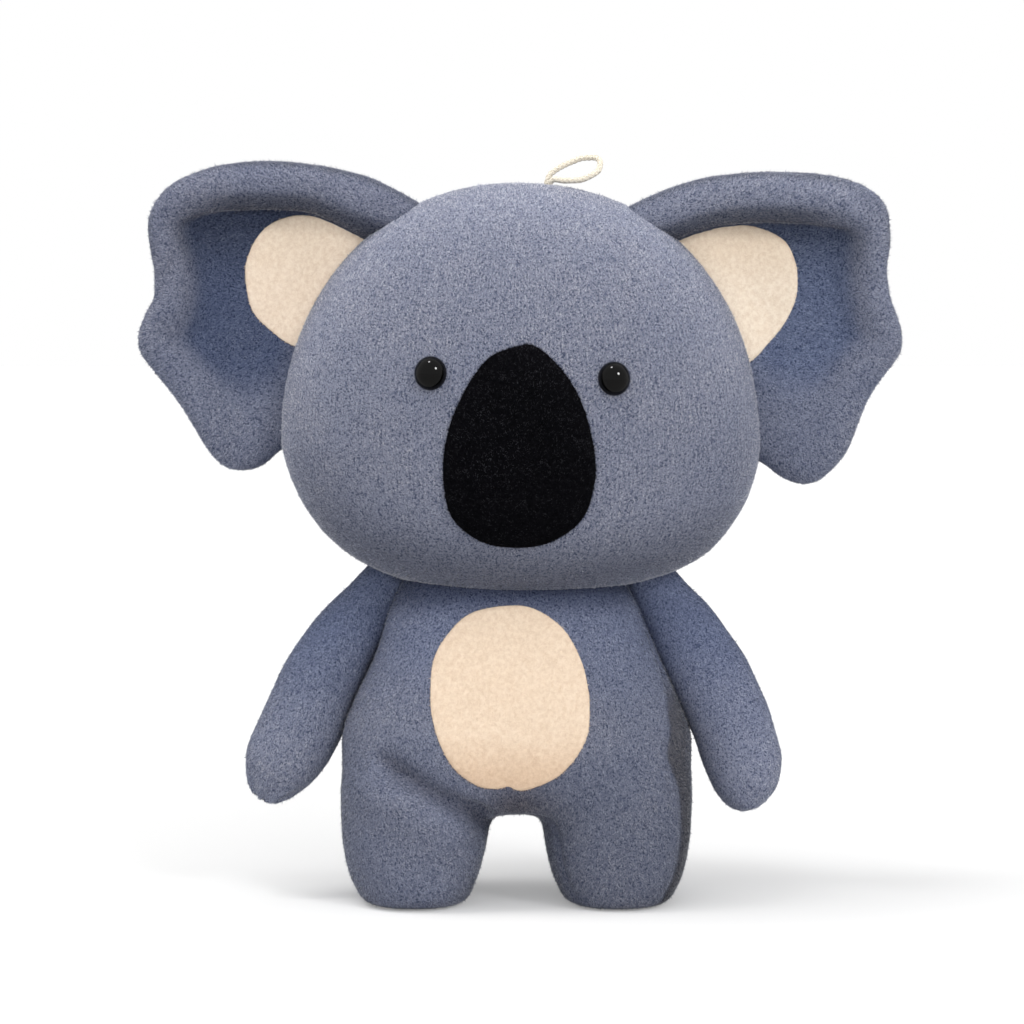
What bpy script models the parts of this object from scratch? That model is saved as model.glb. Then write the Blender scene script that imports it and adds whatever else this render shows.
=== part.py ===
"""Plush koala soft toy, standing, as an assembly of sewn panels, stuffing, plastic eyes and a hanging loop.

The toy faces -Y and stands on Z = 0. Its own left side is +X. Lengths are in metres.
"""

import math

import bmesh
import bpy
from mathutils import Matrix, Vector
from mathutils.bvhtree import BVHTree

MM = 0.001

# Fabric, clearances and cutting
panel_thickness = 1.6 * MM
ear_fabric_thickness = 1.2 * MM
patch_thickness = 0.8 * MM
seam_gap = 0.3 * MM
turning_clearance = 1.0 * MM
overrun = 6 * MM
far_reach = 400 * MM
fine_facet_count = 4

# Head: a ball, fullest below its middle, flat where it sits on the neck
head_width = 160.5 * MM
head_front_depth = 54 * MM
head_back_depth = 52 * MM
head_centre_y = 3.8 * MM
head_top_z = 239.3 * MM
head_full_z = 151.8 * MM
head_under_z = 105.5 * MM
neck_seam_z = 106.5 * MM
head_crown_power = 2.12
head_jowl_power = 2.6
head_section_power = 2.25
head_section_count = 28
head_ring_angles = (90, 72, 54, 36, 18, 0, -18, -36, -54, -70)

# Body: torso and legs in one casing
body_width = 118.5 * MM
body_depth = 71 * MM
body_section_power = 2.6
body_section_count = 28
# Each row: height as a share of neck_seam_z, width and depth as shares of the body's
torso_level_shares = (
    (1.000, 0.620, 0.740),
    (0.915, 0.700, 0.850),
    (0.780, 0.802, 0.930),
    (0.640, 0.918, 0.985),
    (0.500, 0.990, 1.000),
    (0.380, 0.985, 0.985),
    (0.330, 0.900, 0.920),
    (0.291, 0.680, 0.760),
)
leg_spacing = 68.5 * MM
leg_width = 49.5 * MM
leg_depth = 66 * MM
leg_height = 66 * MM
leg_centre_y = -1.2 * MM
leg_section_count = 16
# Each row: height as a share of leg_height, width and depth as shares of the leg's
leg_level_shares = (
    (0.000, 0.700, 0.740),
    (0.055, 0.870, 0.880),
    (0.180, 0.975, 0.980),
    (0.400, 1.000, 1.000),
    (0.640, 1.000, 1.000),
    (0.820, 0.880, 0.900),
    (1.000, 0.560, 0.600),
)

# Arms: each leans out from under the head and swells towards its end
arm_length = 87 * MM
arm_width = 27.5 * MM
arm_depth = 25 * MM
arm_lean = math.radians(28.5)
arm_top_x = 43.9 * MM
arm_top_z = 109.5 * MM
arm_seat_tilt = math.radians(23.5)
arm_section_power = 2.1
arm_section_count = 14
# Each row: distance from the tip as a share of arm_length, width and depth as shares of the arm's
arm_level_shares = (
    (0.000, 0.000, 0.000),
    (0.035, 0.440, 0.440),
    (0.140, 0.850, 0.850),
    (0.320, 1.000, 1.000),
    (0.560, 0.920, 0.940),
    (0.800, 0.800, 0.860),
    (0.940, 0.560, 0.640),
    (1.000, 0.000, 0.000),
)

# Ears: flat padded flaps whose top rim rolls forward
ear_reach = 127.6 * MM
ear_inner_x = 31.6 * MM
ear_width = ear_reach - ear_inner_x
ear_height = 104.5 * MM
ear_rise = 7.5 * MM
ear_top_z = head_top_z + ear_rise
ear_seam_y = 4.5 * MM
ear_half_thickness = 4.6 * MM
ear_roll_height = 9 * MM
ear_ring_shares = (1.0, 0.90, 0.76, 0.42)
ear_roll_bump_shares = (0.0, 0.75, 1.0, 0.15)
ear_flat_power = 4.0
ear_left_drop = 3.5 * MM
ear_right_drop = 0 * MM
ear_wadding_clearance = 1 * MM
# The line that an ear folds about, through this point and leaning out this far from straight down
ear_root_x = 62 * MM
ear_root_z = 194.9 * MM
ear_root_lean = math.radians(27.6)
ear_fold_forward = math.radians(15)
ear_fold_back = math.radians(10)
# Outline from the root's upper end, outward over the top and round to the root's lower end. Each row: distance out
# from the inner edge and down from the top, as shares of the ear's width and height, and how far the rim rolls
ear_outline_shares = (
    (0.020, 0.160, 0.40),
    (0.105, 0.090, 0.80),
    (0.220, 0.047, 1.00),
    (0.350, 0.019, 1.00),
    (0.495, 0.000, 1.00),
    (0.645, 0.006, 1.00),
    (0.780, 0.030, 0.85),
    (0.890, 0.082, 0.60),
    (0.955, 0.160, 0.30),
    (0.965, 0.270, 0.10),
    (0.940, 0.370, 0.00),
    (0.942, 0.455, 0.00),
    (0.992, 0.545, 0.00),
    (0.994, 0.620, 0.00),
    (0.930, 0.705, 0.00),
    (0.850, 0.800, 0.00),
    (0.780, 0.890, 0.00),
    (0.715, 0.960, 0.00),
    (0.640, 1.000, 0.00),
    (0.560, 0.990, 0.00),
    (0.470, 0.930, 0.00),
    (0.420, 0.850, 0.00),
    (0.290, 0.640, 0.00),
    (0.120, 0.420, 0.00),
    (0.000, 0.270, 0.10),
)
ear_centre_shares = (0.50, 0.45)

# Inner ear patches, on the front of the ears
inner_ear_width = 43 * MM
inner_ear_height = 44 * MM
inner_ear_inset_x = 10 * MM
inner_ear_drop = 18.5 * MM
inner_ear_ring_shares = (1.0, 0.7, 0.35)
# Each row: distance out from the patch's inner edge and down from its top, as shares of its width and height
inner_ear_outline_shares = (
    (0.100, 0.150),
    (0.300, 0.035),
    (0.520, 0.000),
    (0.760, 0.060),
    (0.930, 0.210),
    (1.000, 0.440),
    (0.960, 0.640),
    (0.840, 0.830),
    (0.640, 1.000),
    (0.480, 0.900),
    (0.260, 0.600),
    (0.080, 0.320),
)

# Nose: a rounded triangle on the front of the head
nose_width = 48.8 * MM
nose_height = 65.4 * MM
nose_top_z = 185.9 * MM
nose_crown = 5 * MM
nose_edge = 1.5 * MM
nose_pad_clearance = 1.2 * MM
nose_ring_shares = (1.0, 0.86, 0.6, 0.28)
# Right half of the outline, top to bottom: half width and distance down, as shares of the nose's width and height
nose_outline_shares = (
    (0.110, 0.018),
    (0.240, 0.095),
    (0.345, 0.205),
    (0.425, 0.345),
    (0.480, 0.480),
    (0.500, 0.620),
    (0.485, 0.755),
    (0.410, 0.880),
    (0.280, 0.965),
    (0.110, 0.998),
)

# Belly patch: an egg shape on the body front
belly_width = 51.8 * MM
belly_height = 59.4 * MM
belly_centre_x = -3.4 * MM
belly_centre_z = 70.7 * MM
belly_outline_count = 24
belly_ring_shares = (1.0, 0.7, 0.35)
belly_power = 2.15

# Eyes: domed plastic eyes with a stem, held by a washer inside the head
eye_diameter = 10 * MM
eye_dome_height = 4.4 * MM
eye_spacing = 58.8 * MM
eye_z = 176.5 * MM
eye_stem_diameter = 3 * MM
eye_stem_length = 9 * MM
eye_side_count = 16
eye_dome_count = 5
eye_base_share = 0.9
eye_rim_angle = math.radians(12)
eye_lift = 0.7 * MM
washer_diameter = 13 * MM
washer_thickness = 1.4 * MM
washer_depth = 3.4 * MM
pocket_clearance = 0.8 * MM

# Hanging loop: a thin cord whose two ends go into the head's top seam
loop_diameter = 2 * MM
loop_point_count = 14
loop_fine_count = 12
loop_route = (
    (9.0 * MM, 4.8 * MM, 239.3 * MM),
    (9.8 * MM, 5.2 * MM, 241.4 * MM),
    (13.0 * MM, 6.0 * MM, 243.9 * MM),
    (17.2 * MM, 6.8 * MM, 245.9 * MM),
    (21.2 * MM, 7.0 * MM, 247.2 * MM),
    (24.8 * MM, 5.6 * MM, 247.3 * MM),
    (26.6 * MM, 3.0 * MM, 245.7 * MM),
    (26.2 * MM, 0.2 * MM, 243.3 * MM),
    (23.4 * MM, -1.4 * MM, 241.1 * MM),
    (19.2 * MM, -1.2 * MM, 239.6 * MM),
    (14.8 * MM, 0.0 * MM, 239.5 * MM),
    (11.2 * MM, 1.0 * MM, 240.0 * MM),
)

# Colours, roughness
PLUSH_BLUE = ("plush_blue", (0.155, 0.195, 0.315), 0.95)
PLUSH_CREAM = ("plush_cream", (0.80, 0.62, 0.46), 0.95)
PLUSH_BLACK = ("plush_black", (0.006, 0.006, 0.009), 0.95)
EYE_BLACK = ("eye_black", (0.004, 0.004, 0.005), 0.06)
WASHER_WHITE = ("washer_white", (0.75, 0.75, 0.72), 0.5)
FILLING_WHITE = ("filling_white", (0.85, 0.85, 0.83), 1.0)
CORD_CREAM = ("cord_cream", (0.82, 0.74, 0.60), 0.8)


def material_named(settings):
    """The material of these settings, made the first time that it is asked for."""
    name, colour, roughness = settings
    found = bpy.data.materials.get(name)
    if found:
        return found
    material = bpy.data.materials.new(name)
    material.use_nodes = True
    shader = material.node_tree.nodes["Principled BSDF"]
    shader.inputs["Base Color"].default_value = (*colour, 1)
    shader.inputs["Roughness"].default_value = roughness
    shader.inputs["Metallic"].default_value = 0
    return material


def mesh_object(name, bm, settings, matrix=None):
    """A scene object from a closed bmesh, its faces turned outward and shaded smooth."""
    if matrix is not None:
        bm.transform(matrix)
    bmesh.ops.recalc_face_normals(bm, faces=bm.faces)
    mesh = bpy.data.meshes.new(name)
    bm.to_mesh(mesh)
    bm.free()
    mesh.shade_smooth()
    obj = bpy.data.objects.new(name, mesh)
    bpy.context.scene.collection.objects.link(obj)
    mesh.materials.append(material_named(settings))
    return obj


def hide_cutter(obj):
    """Marks an object as a cutter, which shapes others and isn't a piece."""
    obj.hide_render = True
    obj.display_type = "WIRE"
    return obj


def boolean(obj, cutter, operation):
    modifier = obj.modifiers.new(f"{operation.lower()}_{cutter.name}", "BOOLEAN")
    modifier.operation = operation
    modifier.object = cutter


# Lofted forms


def inset_levels(levels, amount):
    """The levels of a form whose skin lies this far inside. An end with width is flat, and one without is a pole."""
    found = []
    last = len(levels) - 1
    for i, (z, half_width, front, back) in enumerate(levels):
        below, above = levels[max(i - 1, 0)], levels[min(i + 1, last)]
        widening, rise = above[1] - below[1], above[0] - below[0]
        slant = math.hypot(widening, rise)
        inward, upward = amount * rise / slant, amount * widening / slant
        if i in (0, last):
            inward, upward = amount, amount if i == 0 else -amount
        if half_width == 0:
            inward = 0
        found.append((z + upward, half_width - inward, front - inward, back - inward))
    return found


def section_ring(level, count, power, centre):
    """The points round one level, from +X through the back, or the one point of a pole."""
    z, half_width, front, back = level
    if half_width == 0:
        return [Vector((centre[0], centre[1], z))]
    ring = []
    for i in range(count):
        angle = math.tau * i / count
        across, along = math.cos(angle), math.sin(angle)
        reach = (abs(across) ** power + abs(along) ** power) ** (-1 / power)
        depth = back if along > 0 else front
        ring.append(Vector((centre[0] + half_width * across * reach, centre[1] + depth * along * reach, z)))
    return ring


def form_rings(levels, count, power, centre, inset=0.0):
    return [section_ring(level, count, power, centre) for level in inset_levels(levels, inset)]


def add_face(bm, verts):
    """Two triangles on four vertices, split from the first to the third, or one where two vertices are the same."""
    for corners in (verts[:3], verts[2:] + verts[:1]):
        if len(set(corners)) == 3:
            bm.faces.new(corners)


def closed_form(rings):
    """A closed bmesh through these rings, with flat ends where the ends aren't poles."""
    bm = bmesh.new()
    count = max(len(ring) for ring in rings)
    rows = []
    for ring in rings:
        verts = [bm.verts.new(point) for point in ring]
        rows.append(verts if len(verts) > 1 else verts * count)
    for lower, upper in zip(rows, rows[1:]):
        for i in range(count):
            j = (i + 1) % count
            add_face(bm, [lower[i], lower[j], upper[j], upper[i]])
    for row, ring in ((rows[0], rings[0]), (rows[-1], rings[-1])):
        if len(ring) > 1:
            bm.faces.new(row)
    return bm


def half_rows(bm, rings, side, seam_y):
    """Vertices of one half of each ring, kept half a seam gap to its own side of the seam."""
    count = max(len(ring) for ring in rings)
    start = 0 if side == "back" else count // 2
    rows = []
    for ring in rings:
        if len(ring) == 1:
            picked = ring
        else:
            picked = [ring[(start + i) % count] for i in range(count // 2 + 1)]
        verts = []
        for point in picked:
            y = max(point.y, seam_y + seam_gap / 2) if side == "back" else min(point.y, seam_y - seam_gap / 2)
            verts.append(bm.verts.new((point.x, y, point.z)))
        rows.append(verts if len(verts) > 1 else verts * (count // 2 + 1))
    return rows


def panel_form(outer_rings, inner_rings, side, seam_y):
    """A closed bmesh of the fabric between two skins, on one side of the seam."""
    bm = bmesh.new()
    outer = half_rows(bm, outer_rings, side, seam_y)
    inner = half_rows(bm, inner_rings, side, seam_y)
    columns = len(outer[0])
    for rows in (outer, inner):
        for lower, upper in zip(rows, rows[1:]):
            for i in range(columns - 1):
                add_face(bm, [lower[i], lower[i + 1], upper[i + 1], upper[i]])
    for edge in (0, columns - 1):
        for k in range(len(outer) - 1):
            add_face(bm, [outer[k][edge], outer[k + 1][edge], inner[k + 1][edge], inner[k][edge]])
    for end in (0, len(outer) - 1):
        if outer[end][0] is not outer[end][1]:
            for i in range(columns - 1):
                add_face(bm, [outer[end][i], outer[end][i + 1], inner[end][i + 1], inner[end][i]])
    return bm


# Pillow forms: an outline filled by rings that close on its centre


def drawn_in(outline, centre, amount):
    """The outline moved this far towards its centre."""
    found = []
    for x, z in outline:
        reach = math.hypot(x - centre[0], z - centre[1])
        keep = 1 - amount / reach
        found.append((centre[0] + (x - centre[0]) * keep, centre[1] + (z - centre[1]) * keep))
    return found


def pillow_skin(bm, outline, centre, ring_shares, depth_at, rim=None):
    """Adds one skin over the outline, where depth_at gives Y for a point, its ring and its place.

    A rim, where there is one, stands in for the outline in the first ring. The skin's first ring is returned.
    """
    rings = []
    for k, share in enumerate(ring_shares):
        ring = []
        for i, (x, z) in enumerate(rim if rim and k == 0 else outline):
            px, pz = centre[0] + (x - centre[0]) * share, centre[1] + (z - centre[1]) * share
            ring.append(bm.verts.new((px, depth_at(px, pz, k, i), pz)))
        rings.append(ring)
    middle = bm.verts.new((centre[0], depth_at(centre[0], centre[1], len(ring_shares), 0), centre[1]))
    count = len(outline)
    for outside, inside in zip(rings, rings[1:]):
        for i in range(count):
            j = (i + 1) % count
            add_face(bm, [outside[i], outside[j], inside[j], inside[i]])
    for i in range(count):
        bm.faces.new([rings[-1][i], rings[-1][(i + 1) % count], middle])
    return rings[0]


def join_rims(bm, first, second):
    for i in range(len(first)):
        j = (i + 1) % len(first)
        add_face(bm, [first[i], first[j], second[j], second[i]])


# Head


def head_levels(ring_angles=head_ring_angles):
    """Height, half width, front and back depth of the head's rings, bottom to top."""
    levels = []
    for degrees in reversed(ring_angles):
        angle = math.radians(degrees)
        power = head_crown_power if degrees > 0 else head_jowl_power
        height = (head_top_z if degrees > 0 else head_under_z) - head_full_z
        across, up = math.cos(angle), abs(math.sin(angle))
        reach = (across**power + up**power) ** (-1 / power)
        z = head_full_z + height * up * reach
        width_share = across * reach if degrees < ring_angles[0] else 0
        levels.append((z, head_width / 2 * width_share, head_front_depth * width_share, head_back_depth * width_share))
    # The lowest ring lies on the neck seam
    _, half_width, front, back = levels[0]
    levels[0] = (neck_seam_z + seam_gap, half_width, front, back)
    return levels


def head_rings(inset=0.0):
    return form_rings(head_levels(), head_section_count, head_section_power, (0, head_centre_y), inset)


def make_head():
    outer, inner = head_rings(), head_rings(panel_thickness)
    front = mesh_object("head_front_panel", panel_form(outer, inner, "front", head_centre_y), PLUSH_BLUE)
    mesh_object("head_back_panel", panel_form(outer, inner, "back", head_centre_y), PLUSH_BLUE)
    filling = closed_form(head_rings(panel_thickness + seam_gap))
    return front, mesh_object("head_stuffing", filling, FILLING_WHITE)


# Body


def scaled_levels(shares, height, width, depth):
    found = [(h * height, w * width / 2, d * depth / 2, d * depth / 2) for h, w, d in shares]
    return sorted(found)


def torso_levels():
    return scaled_levels(torso_level_shares, neck_seam_z, body_width, body_depth)


def body_solid(name, inset, settings=FILLING_WHITE):
    """Torso with both legs, its skin this far inside the casing's."""
    torso = form_rings(torso_levels(), body_section_count, body_section_power, (0, 0), inset)
    body = mesh_object(name, closed_form(torso), settings)
    levels = scaled_levels(leg_level_shares, leg_height, leg_width, leg_depth)
    for side, word in ((1, "left"), (-1, "right")):
        leg = form_rings(levels, leg_section_count, body_section_power, (side * leg_spacing / 2, leg_centre_y), inset)
        cutter = mesh_object(f"{name}_leg_{word}", closed_form(leg), settings)
        boolean(body, hide_cutter(cutter), "UNION")
    return body


def half_space(name, side):
    """A block that covers everything on one side of the body's side seam, up to half a seam gap past it."""
    bm = bmesh.new()
    bmesh.ops.create_cube(bm, size=far_reach)
    sign = 1 if side == "back" else -1
    offset = sign * (far_reach / 2 - seam_gap / 2)
    return hide_cutter(mesh_object(name, bm, FILLING_WHITE, Matrix.Translation((0, offset, 0))))


def make_body():
    hollow = hide_cutter(body_solid("body_hollow", panel_thickness))
    front = body_solid("body_front_panel", 0.0, PLUSH_BLUE)
    boolean(front, hollow, "DIFFERENCE")
    boolean(front, half_space("behind_side_seam", "back"), "DIFFERENCE")
    back = body_solid("body_back_panel", 0.0, PLUSH_BLUE)
    boolean(back, hollow, "DIFFERENCE")
    boolean(back, half_space("before_side_seam", "front"), "DIFFERENCE")
    body_solid("body_stuffing", panel_thickness + seam_gap)


# Arms


def arm_seat_distance():
    """How far the seat plane lies from the origin along its normal: just clear of the torso's whole side."""
    return seam_gap + max(
        half_width * math.cos(arm_seat_tilt) + z * math.sin(arm_seat_tilt) for z, half_width, _, _ in torso_levels()
    )


def arm_seat_cutter(side, word):
    """A block that covers the body's side of the plane that the arm's root is cut by."""
    bm = bmesh.new()
    bmesh.ops.create_cube(bm, size=far_reach)
    shift = Matrix.Translation((arm_seat_distance() - far_reach / 2, 0, 0))
    turn = Matrix.Rotation(-arm_seat_tilt, 4, "Y")
    mirror = Matrix.Diagonal((side, 1, 1, 1))
    return hide_cutter(mesh_object(f"arm_{word}_seat", bm, FILLING_WHITE, mirror @ turn @ shift))


def make_arm(side, word, head_clearance):
    """One arm, its rings in its own frame with +Z from the tip to the shoulder."""
    levels = scaled_levels(arm_level_shares, arm_length, arm_width, arm_depth)
    to_shoulder = Matrix.Translation((arm_top_x, 0, arm_top_z))
    lean = Matrix.Rotation(-arm_lean, 4, "Y")
    place = Matrix.Diagonal((side, 1, 1, 1)) @ to_shoulder @ lean @ Matrix.Translation((0, 0, -arm_length))

    def rings(inset):
        return form_rings(levels, arm_section_count, arm_section_power, (0, 0), inset)

    seat = arm_seat_cutter(side, word)
    name = f"arm_{word}"
    pieces = (
        (f"{name}_front_panel", panel_form(rings(0.0), rings(panel_thickness), "front", 0.0), PLUSH_BLUE),
        (f"{name}_back_panel", panel_form(rings(0.0), rings(panel_thickness), "back", 0.0), PLUSH_BLUE),
        (f"{name}_stuffing", closed_form(rings(panel_thickness + seam_gap)), FILLING_WHITE),
    )
    for piece_name, bm, settings in pieces:
        piece = mesh_object(piece_name, bm, settings, place)
        boolean(piece, seat, "DIFFERENCE")
        boolean(piece, head_clearance, "DIFFERENCE")


# Ears


def ear_outline():
    """The outline of the ear on the +X side, and its centre."""
    outline = [(ear_inner_x + out * ear_width, ear_top_z - down * ear_height) for out, down, _ in ear_outline_shares]
    out, down = ear_centre_shares
    return outline, (ear_inner_x + out * ear_width, ear_top_z - down * ear_height)


def ear_depth(side_sign, under):
    """Y of an ear's skin that lies this far under its outer skin, on the front (-1) or the back (1)."""

    def depth_at(_x, _z, ring, place):
        share = ear_ring_shares[ring] if ring < len(ear_ring_shares) else 0.0
        swell = ear_half_thickness * math.sqrt(1 - share**ear_flat_power)
        if ring == 0:
            return ear_seam_y + side_sign * seam_gap / 2 if under < ear_fabric_thickness + seam_gap else ear_seam_y
        if ring < len(ear_ring_shares) and side_sign < 0:
            swell += ear_roll_height * ear_roll_bump_shares[ring] * ear_outline_shares[place][2]
        return ear_seam_y + side_sign * (swell - under)

    return depth_at


def ear_panel(side_sign):
    outline, centre = ear_outline()
    bm = bmesh.new()
    outer = pillow_skin(bm, outline, centre, ear_ring_shares, ear_depth(side_sign, 0.0))
    inside = drawn_in(outline, centre, ear_fabric_thickness)
    inner = pillow_skin(bm, inside, centre, ear_ring_shares, ear_depth(side_sign, ear_fabric_thickness))
    join_rims(bm, outer, inner)
    return bm


def ear_wadding():
    outline, centre = ear_outline()
    under = ear_fabric_thickness + seam_gap
    inside = drawn_in(outline, centre, ear_fabric_thickness)
    rim = drawn_in(outline, centre, under + ear_wadding_clearance)
    bm = bmesh.new()
    front = pillow_skin(bm, inside, centre, ear_ring_shares, ear_depth(-1, under), rim)
    back = pillow_skin(bm, inside, centre, ear_ring_shares, ear_depth(1, under), rim)
    bmesh.ops.weld_verts(bm, targetmap=dict(zip(back, front)))
    return bm


def ear_matrix(side, drop):
    """Lowers the +X ear by its drop, and mirrors it for the other side."""
    return Matrix.Diagonal((side, 1, 1, 1)) @ Matrix.Translation((0, 0, -drop))


def ear_room(side, drop, word):
    """The head's form, and its places as an ear folded forward or back sees it, which the ear's root clears."""
    place = ear_matrix(side, drop)
    point = place @ Vector((ear_root_x, ear_seam_y, ear_root_z))
    axis = place.to_3x3() @ Vector((math.sin(ear_root_lean), 0, -math.cos(ear_root_lean)))
    cutters = []
    for label, angle in (("rest", 0.0), ("forward", side * ear_fold_forward), ("back", -side * ear_fold_back)):
        fold = Matrix.Translation(point) @ Matrix.Rotation(-angle, 4, axis) @ Matrix.Translation(-point)
        form = closed_form(head_rings(-seam_gap))
        cutters.append(hide_cutter(mesh_object(f"ear_{word}_room_{label}", form, FILLING_WHITE, fold)))
    return cutters


def inner_ear_outline():
    inner_edge = ear_inner_x + inner_ear_inset_x
    top = ear_top_z - inner_ear_drop
    outline = [
        (inner_edge + out * inner_ear_width, top - down * inner_ear_height) for out, down in inner_ear_outline_shares
    ]
    return outline, (inner_edge + inner_ear_width / 2, top - inner_ear_height / 2)


def make_ear(side, word, drop):
    place = ear_matrix(side, drop)
    front = mesh_object(f"ear_{word}_front_panel", ear_panel(-1), PLUSH_BLUE, place)
    back = mesh_object(f"ear_{word}_back_panel", ear_panel(1), PLUSH_BLUE, place)
    wadding = mesh_object(f"ear_{word}_wadding", ear_wadding(), FILLING_WHITE, place)
    outline, centre = inner_ear_outline()
    points = [place @ Vector((x, 0, z)) for x, z in outline]
    middle = place @ Vector((centre[0], 0, centre[1]))
    skin_at = skin_of_object(front)
    patch = patch_on(skin_at, [(p.x, p.z) for p in points], (middle.x, middle.z), inner_ear_ring_shares)
    patch = mesh_object(f"inner_ear_{word}", patch, PLUSH_CREAM)
    for cutter in ear_room(side, drop, word):
        for piece in (front, back, wadding, patch):
            boolean(piece, cutter, "DIFFERENCE")


# Patches that lie on a panel


def front_skin(tree):
    """A function that gives Y of the tree's front skin at a point, and its normal."""

    def skin_at(x, z):
        hit, normal, _, _ = tree.ray_cast(Vector((x, -far_reach, z)), Vector((0, 1, 0)))
        return hit.y, normal

    return skin_at


def skin_of_object(obj):
    bpy.context.view_layer.update()
    return front_skin(BVHTree.FromObject(obj, bpy.context.evaluated_depsgraph_get()))


def skin_of_rings(rings):
    """The front skin of a form with finer facets than its solid, so that what lies on it clears the solid's edges."""
    bm = closed_form(rings)
    bmesh.ops.recalc_face_normals(bm, faces=bm.faces)
    tree = BVHTree.FromBMesh(bm)
    bm.free()
    return front_skin(tree)


def fine_head_skin():
    steps = (len(head_ring_angles) - 1) * fine_facet_count
    first, last = head_ring_angles[0], head_ring_angles[-1]
    angles = tuple(first + (last - first) * i / steps for i in range(steps + 1))
    points = head_section_count * fine_facet_count
    return skin_of_rings(form_rings(head_levels(angles), points, head_section_power, (0, head_centre_y)))


def fine_torso_skin():
    return skin_of_rings(form_rings(torso_levels(), body_section_count * fine_facet_count, body_section_power, (0, 0)))


def patch_on(skin_at, outline, centre, ring_shares):
    """A thin patch that follows a front skin, a seam gap clear of it."""
    bm = bmesh.new()

    def lifted(lift):
        return lambda x, z, _ring, _place: skin_at(x, z)[0] - lift

    under = pillow_skin(bm, outline, centre, ring_shares, lifted(2 * seam_gap))
    over = pillow_skin(bm, outline, centre, ring_shares, lifted(2 * seam_gap + patch_thickness))
    join_rims(bm, under, over)
    return bm


def egg_outline(centre, width, height, count, power):
    outline = []
    for i in range(count):
        angle = math.tau * i / count
        across, up = math.cos(angle), math.sin(angle)
        reach = (abs(across) ** power + abs(up) ** power) ** (-1 / power)
        outline.append((centre[0] + width / 2 * across * reach, centre[1] + height / 2 * up * reach))
    return outline


def make_belly_patch():
    centre = (belly_centre_x, belly_centre_z)
    outline = egg_outline(centre, belly_width, belly_height, belly_outline_count, belly_power)
    mesh_object("belly_patch", patch_on(fine_torso_skin(), outline, centre, belly_ring_shares), PLUSH_CREAM)


# Nose


def nose_outline():
    right = [(x * nose_width, nose_top_z - down * nose_height) for x, down in nose_outline_shares]
    return right + [(-x, z) for x, z in reversed(right)]


def nose_skin(skin_at, under, edge_height):
    """Y of the nose's skin that lies this far under its outer skin, and this high over the head at its rim."""

    def depth_at(x, z, ring, _place):
        share = nose_ring_shares[ring] if ring < len(nose_ring_shares) else 0.0
        height = nose_edge + (nose_crown - nose_edge) * math.sqrt(1 - share**2) - under
        return skin_at(x, z)[0] - 2 * seam_gap - (edge_height if ring == 0 else height)

    return depth_at


def make_nose(skin_at):
    """The cover, a shell that is open to the head, and the wadding inside it."""
    outline = nose_outline()
    centre = (0, nose_top_z - nose_height / 2)
    inside = drawn_in(outline, centre, patch_thickness)
    cover = bmesh.new()
    outer = pillow_skin(cover, outline, centre, nose_ring_shares, nose_skin(skin_at, 0.0, nose_edge))
    inner = pillow_skin(cover, inside, centre, nose_ring_shares, nose_skin(skin_at, patch_thickness, 0.0))
    join_rims(cover, outer, inner)
    mesh_object("nose_cover", cover, PLUSH_BLACK)
    smaller = drawn_in(outline, centre, patch_thickness + nose_pad_clearance)
    pad = bmesh.new()
    under = patch_thickness + seam_gap
    front = pillow_skin(pad, smaller, centre, nose_ring_shares, nose_skin(skin_at, under, seam_gap))
    back = pillow_skin(pad, smaller, centre, nose_ring_shares, lambda x, z, _r, _i: skin_at(x, z)[0] - 2 * seam_gap)
    join_rims(pad, front, back)
    mesh_object("nose_wadding", pad, FILLING_WHITE)


# Eyes


def eye_form():
    """Dome and stem turned about +Z, the dome upward and its flat back on Z = 0."""
    radius, stem = eye_diameter / 2, eye_stem_diameter / 2
    profile = [(-eye_stem_length, stem), (0.0, stem), (0.0, radius * eye_base_share)]
    for k in range(eye_dome_count):
        angle = eye_rim_angle + (math.pi / 2 - eye_rim_angle) * k / eye_dome_count
        profile.append((eye_dome_height * math.sin(angle), radius * math.cos(angle)))
    rings = [turned_ring(height, reach, eye_side_count) for height, reach in profile]
    rings.append([Vector((0, 0, eye_dome_height))])
    return closed_form(rings)


def turned_ring(height, radius, count):
    return [
        Vector((radius * math.cos(math.tau * i / count), radius * math.sin(math.tau * i / count), height))
        for i in range(count)
    ]


def washer_form():
    """A flat ring about +Z whose top lies on Z = 0, with a bore that clears the stem."""
    outer, bore = washer_diameter / 2, eye_stem_diameter / 2 + seam_gap
    bm = bmesh.new()
    corners = ((0.0, outer), (-washer_thickness, outer), (-washer_thickness, bore), (0.0, bore))
    rows = [[bm.verts.new(p) for p in turned_ring(height, radius, eye_side_count)] for height, radius in corners]
    for first, second in zip(rows, rows[1:] + rows[:1]):
        join_rims(bm, first, second)
    return bm


def drum(name, radius, low, high, matrix):
    """A cylinder cutter about the matrix's Z axis."""
    bm = closed_form([turned_ring(low, radius, eye_side_count), turned_ring(high, radius, eye_side_count)])
    return hide_cutter(mesh_object(name, bm, FILLING_WHITE, matrix))


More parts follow.
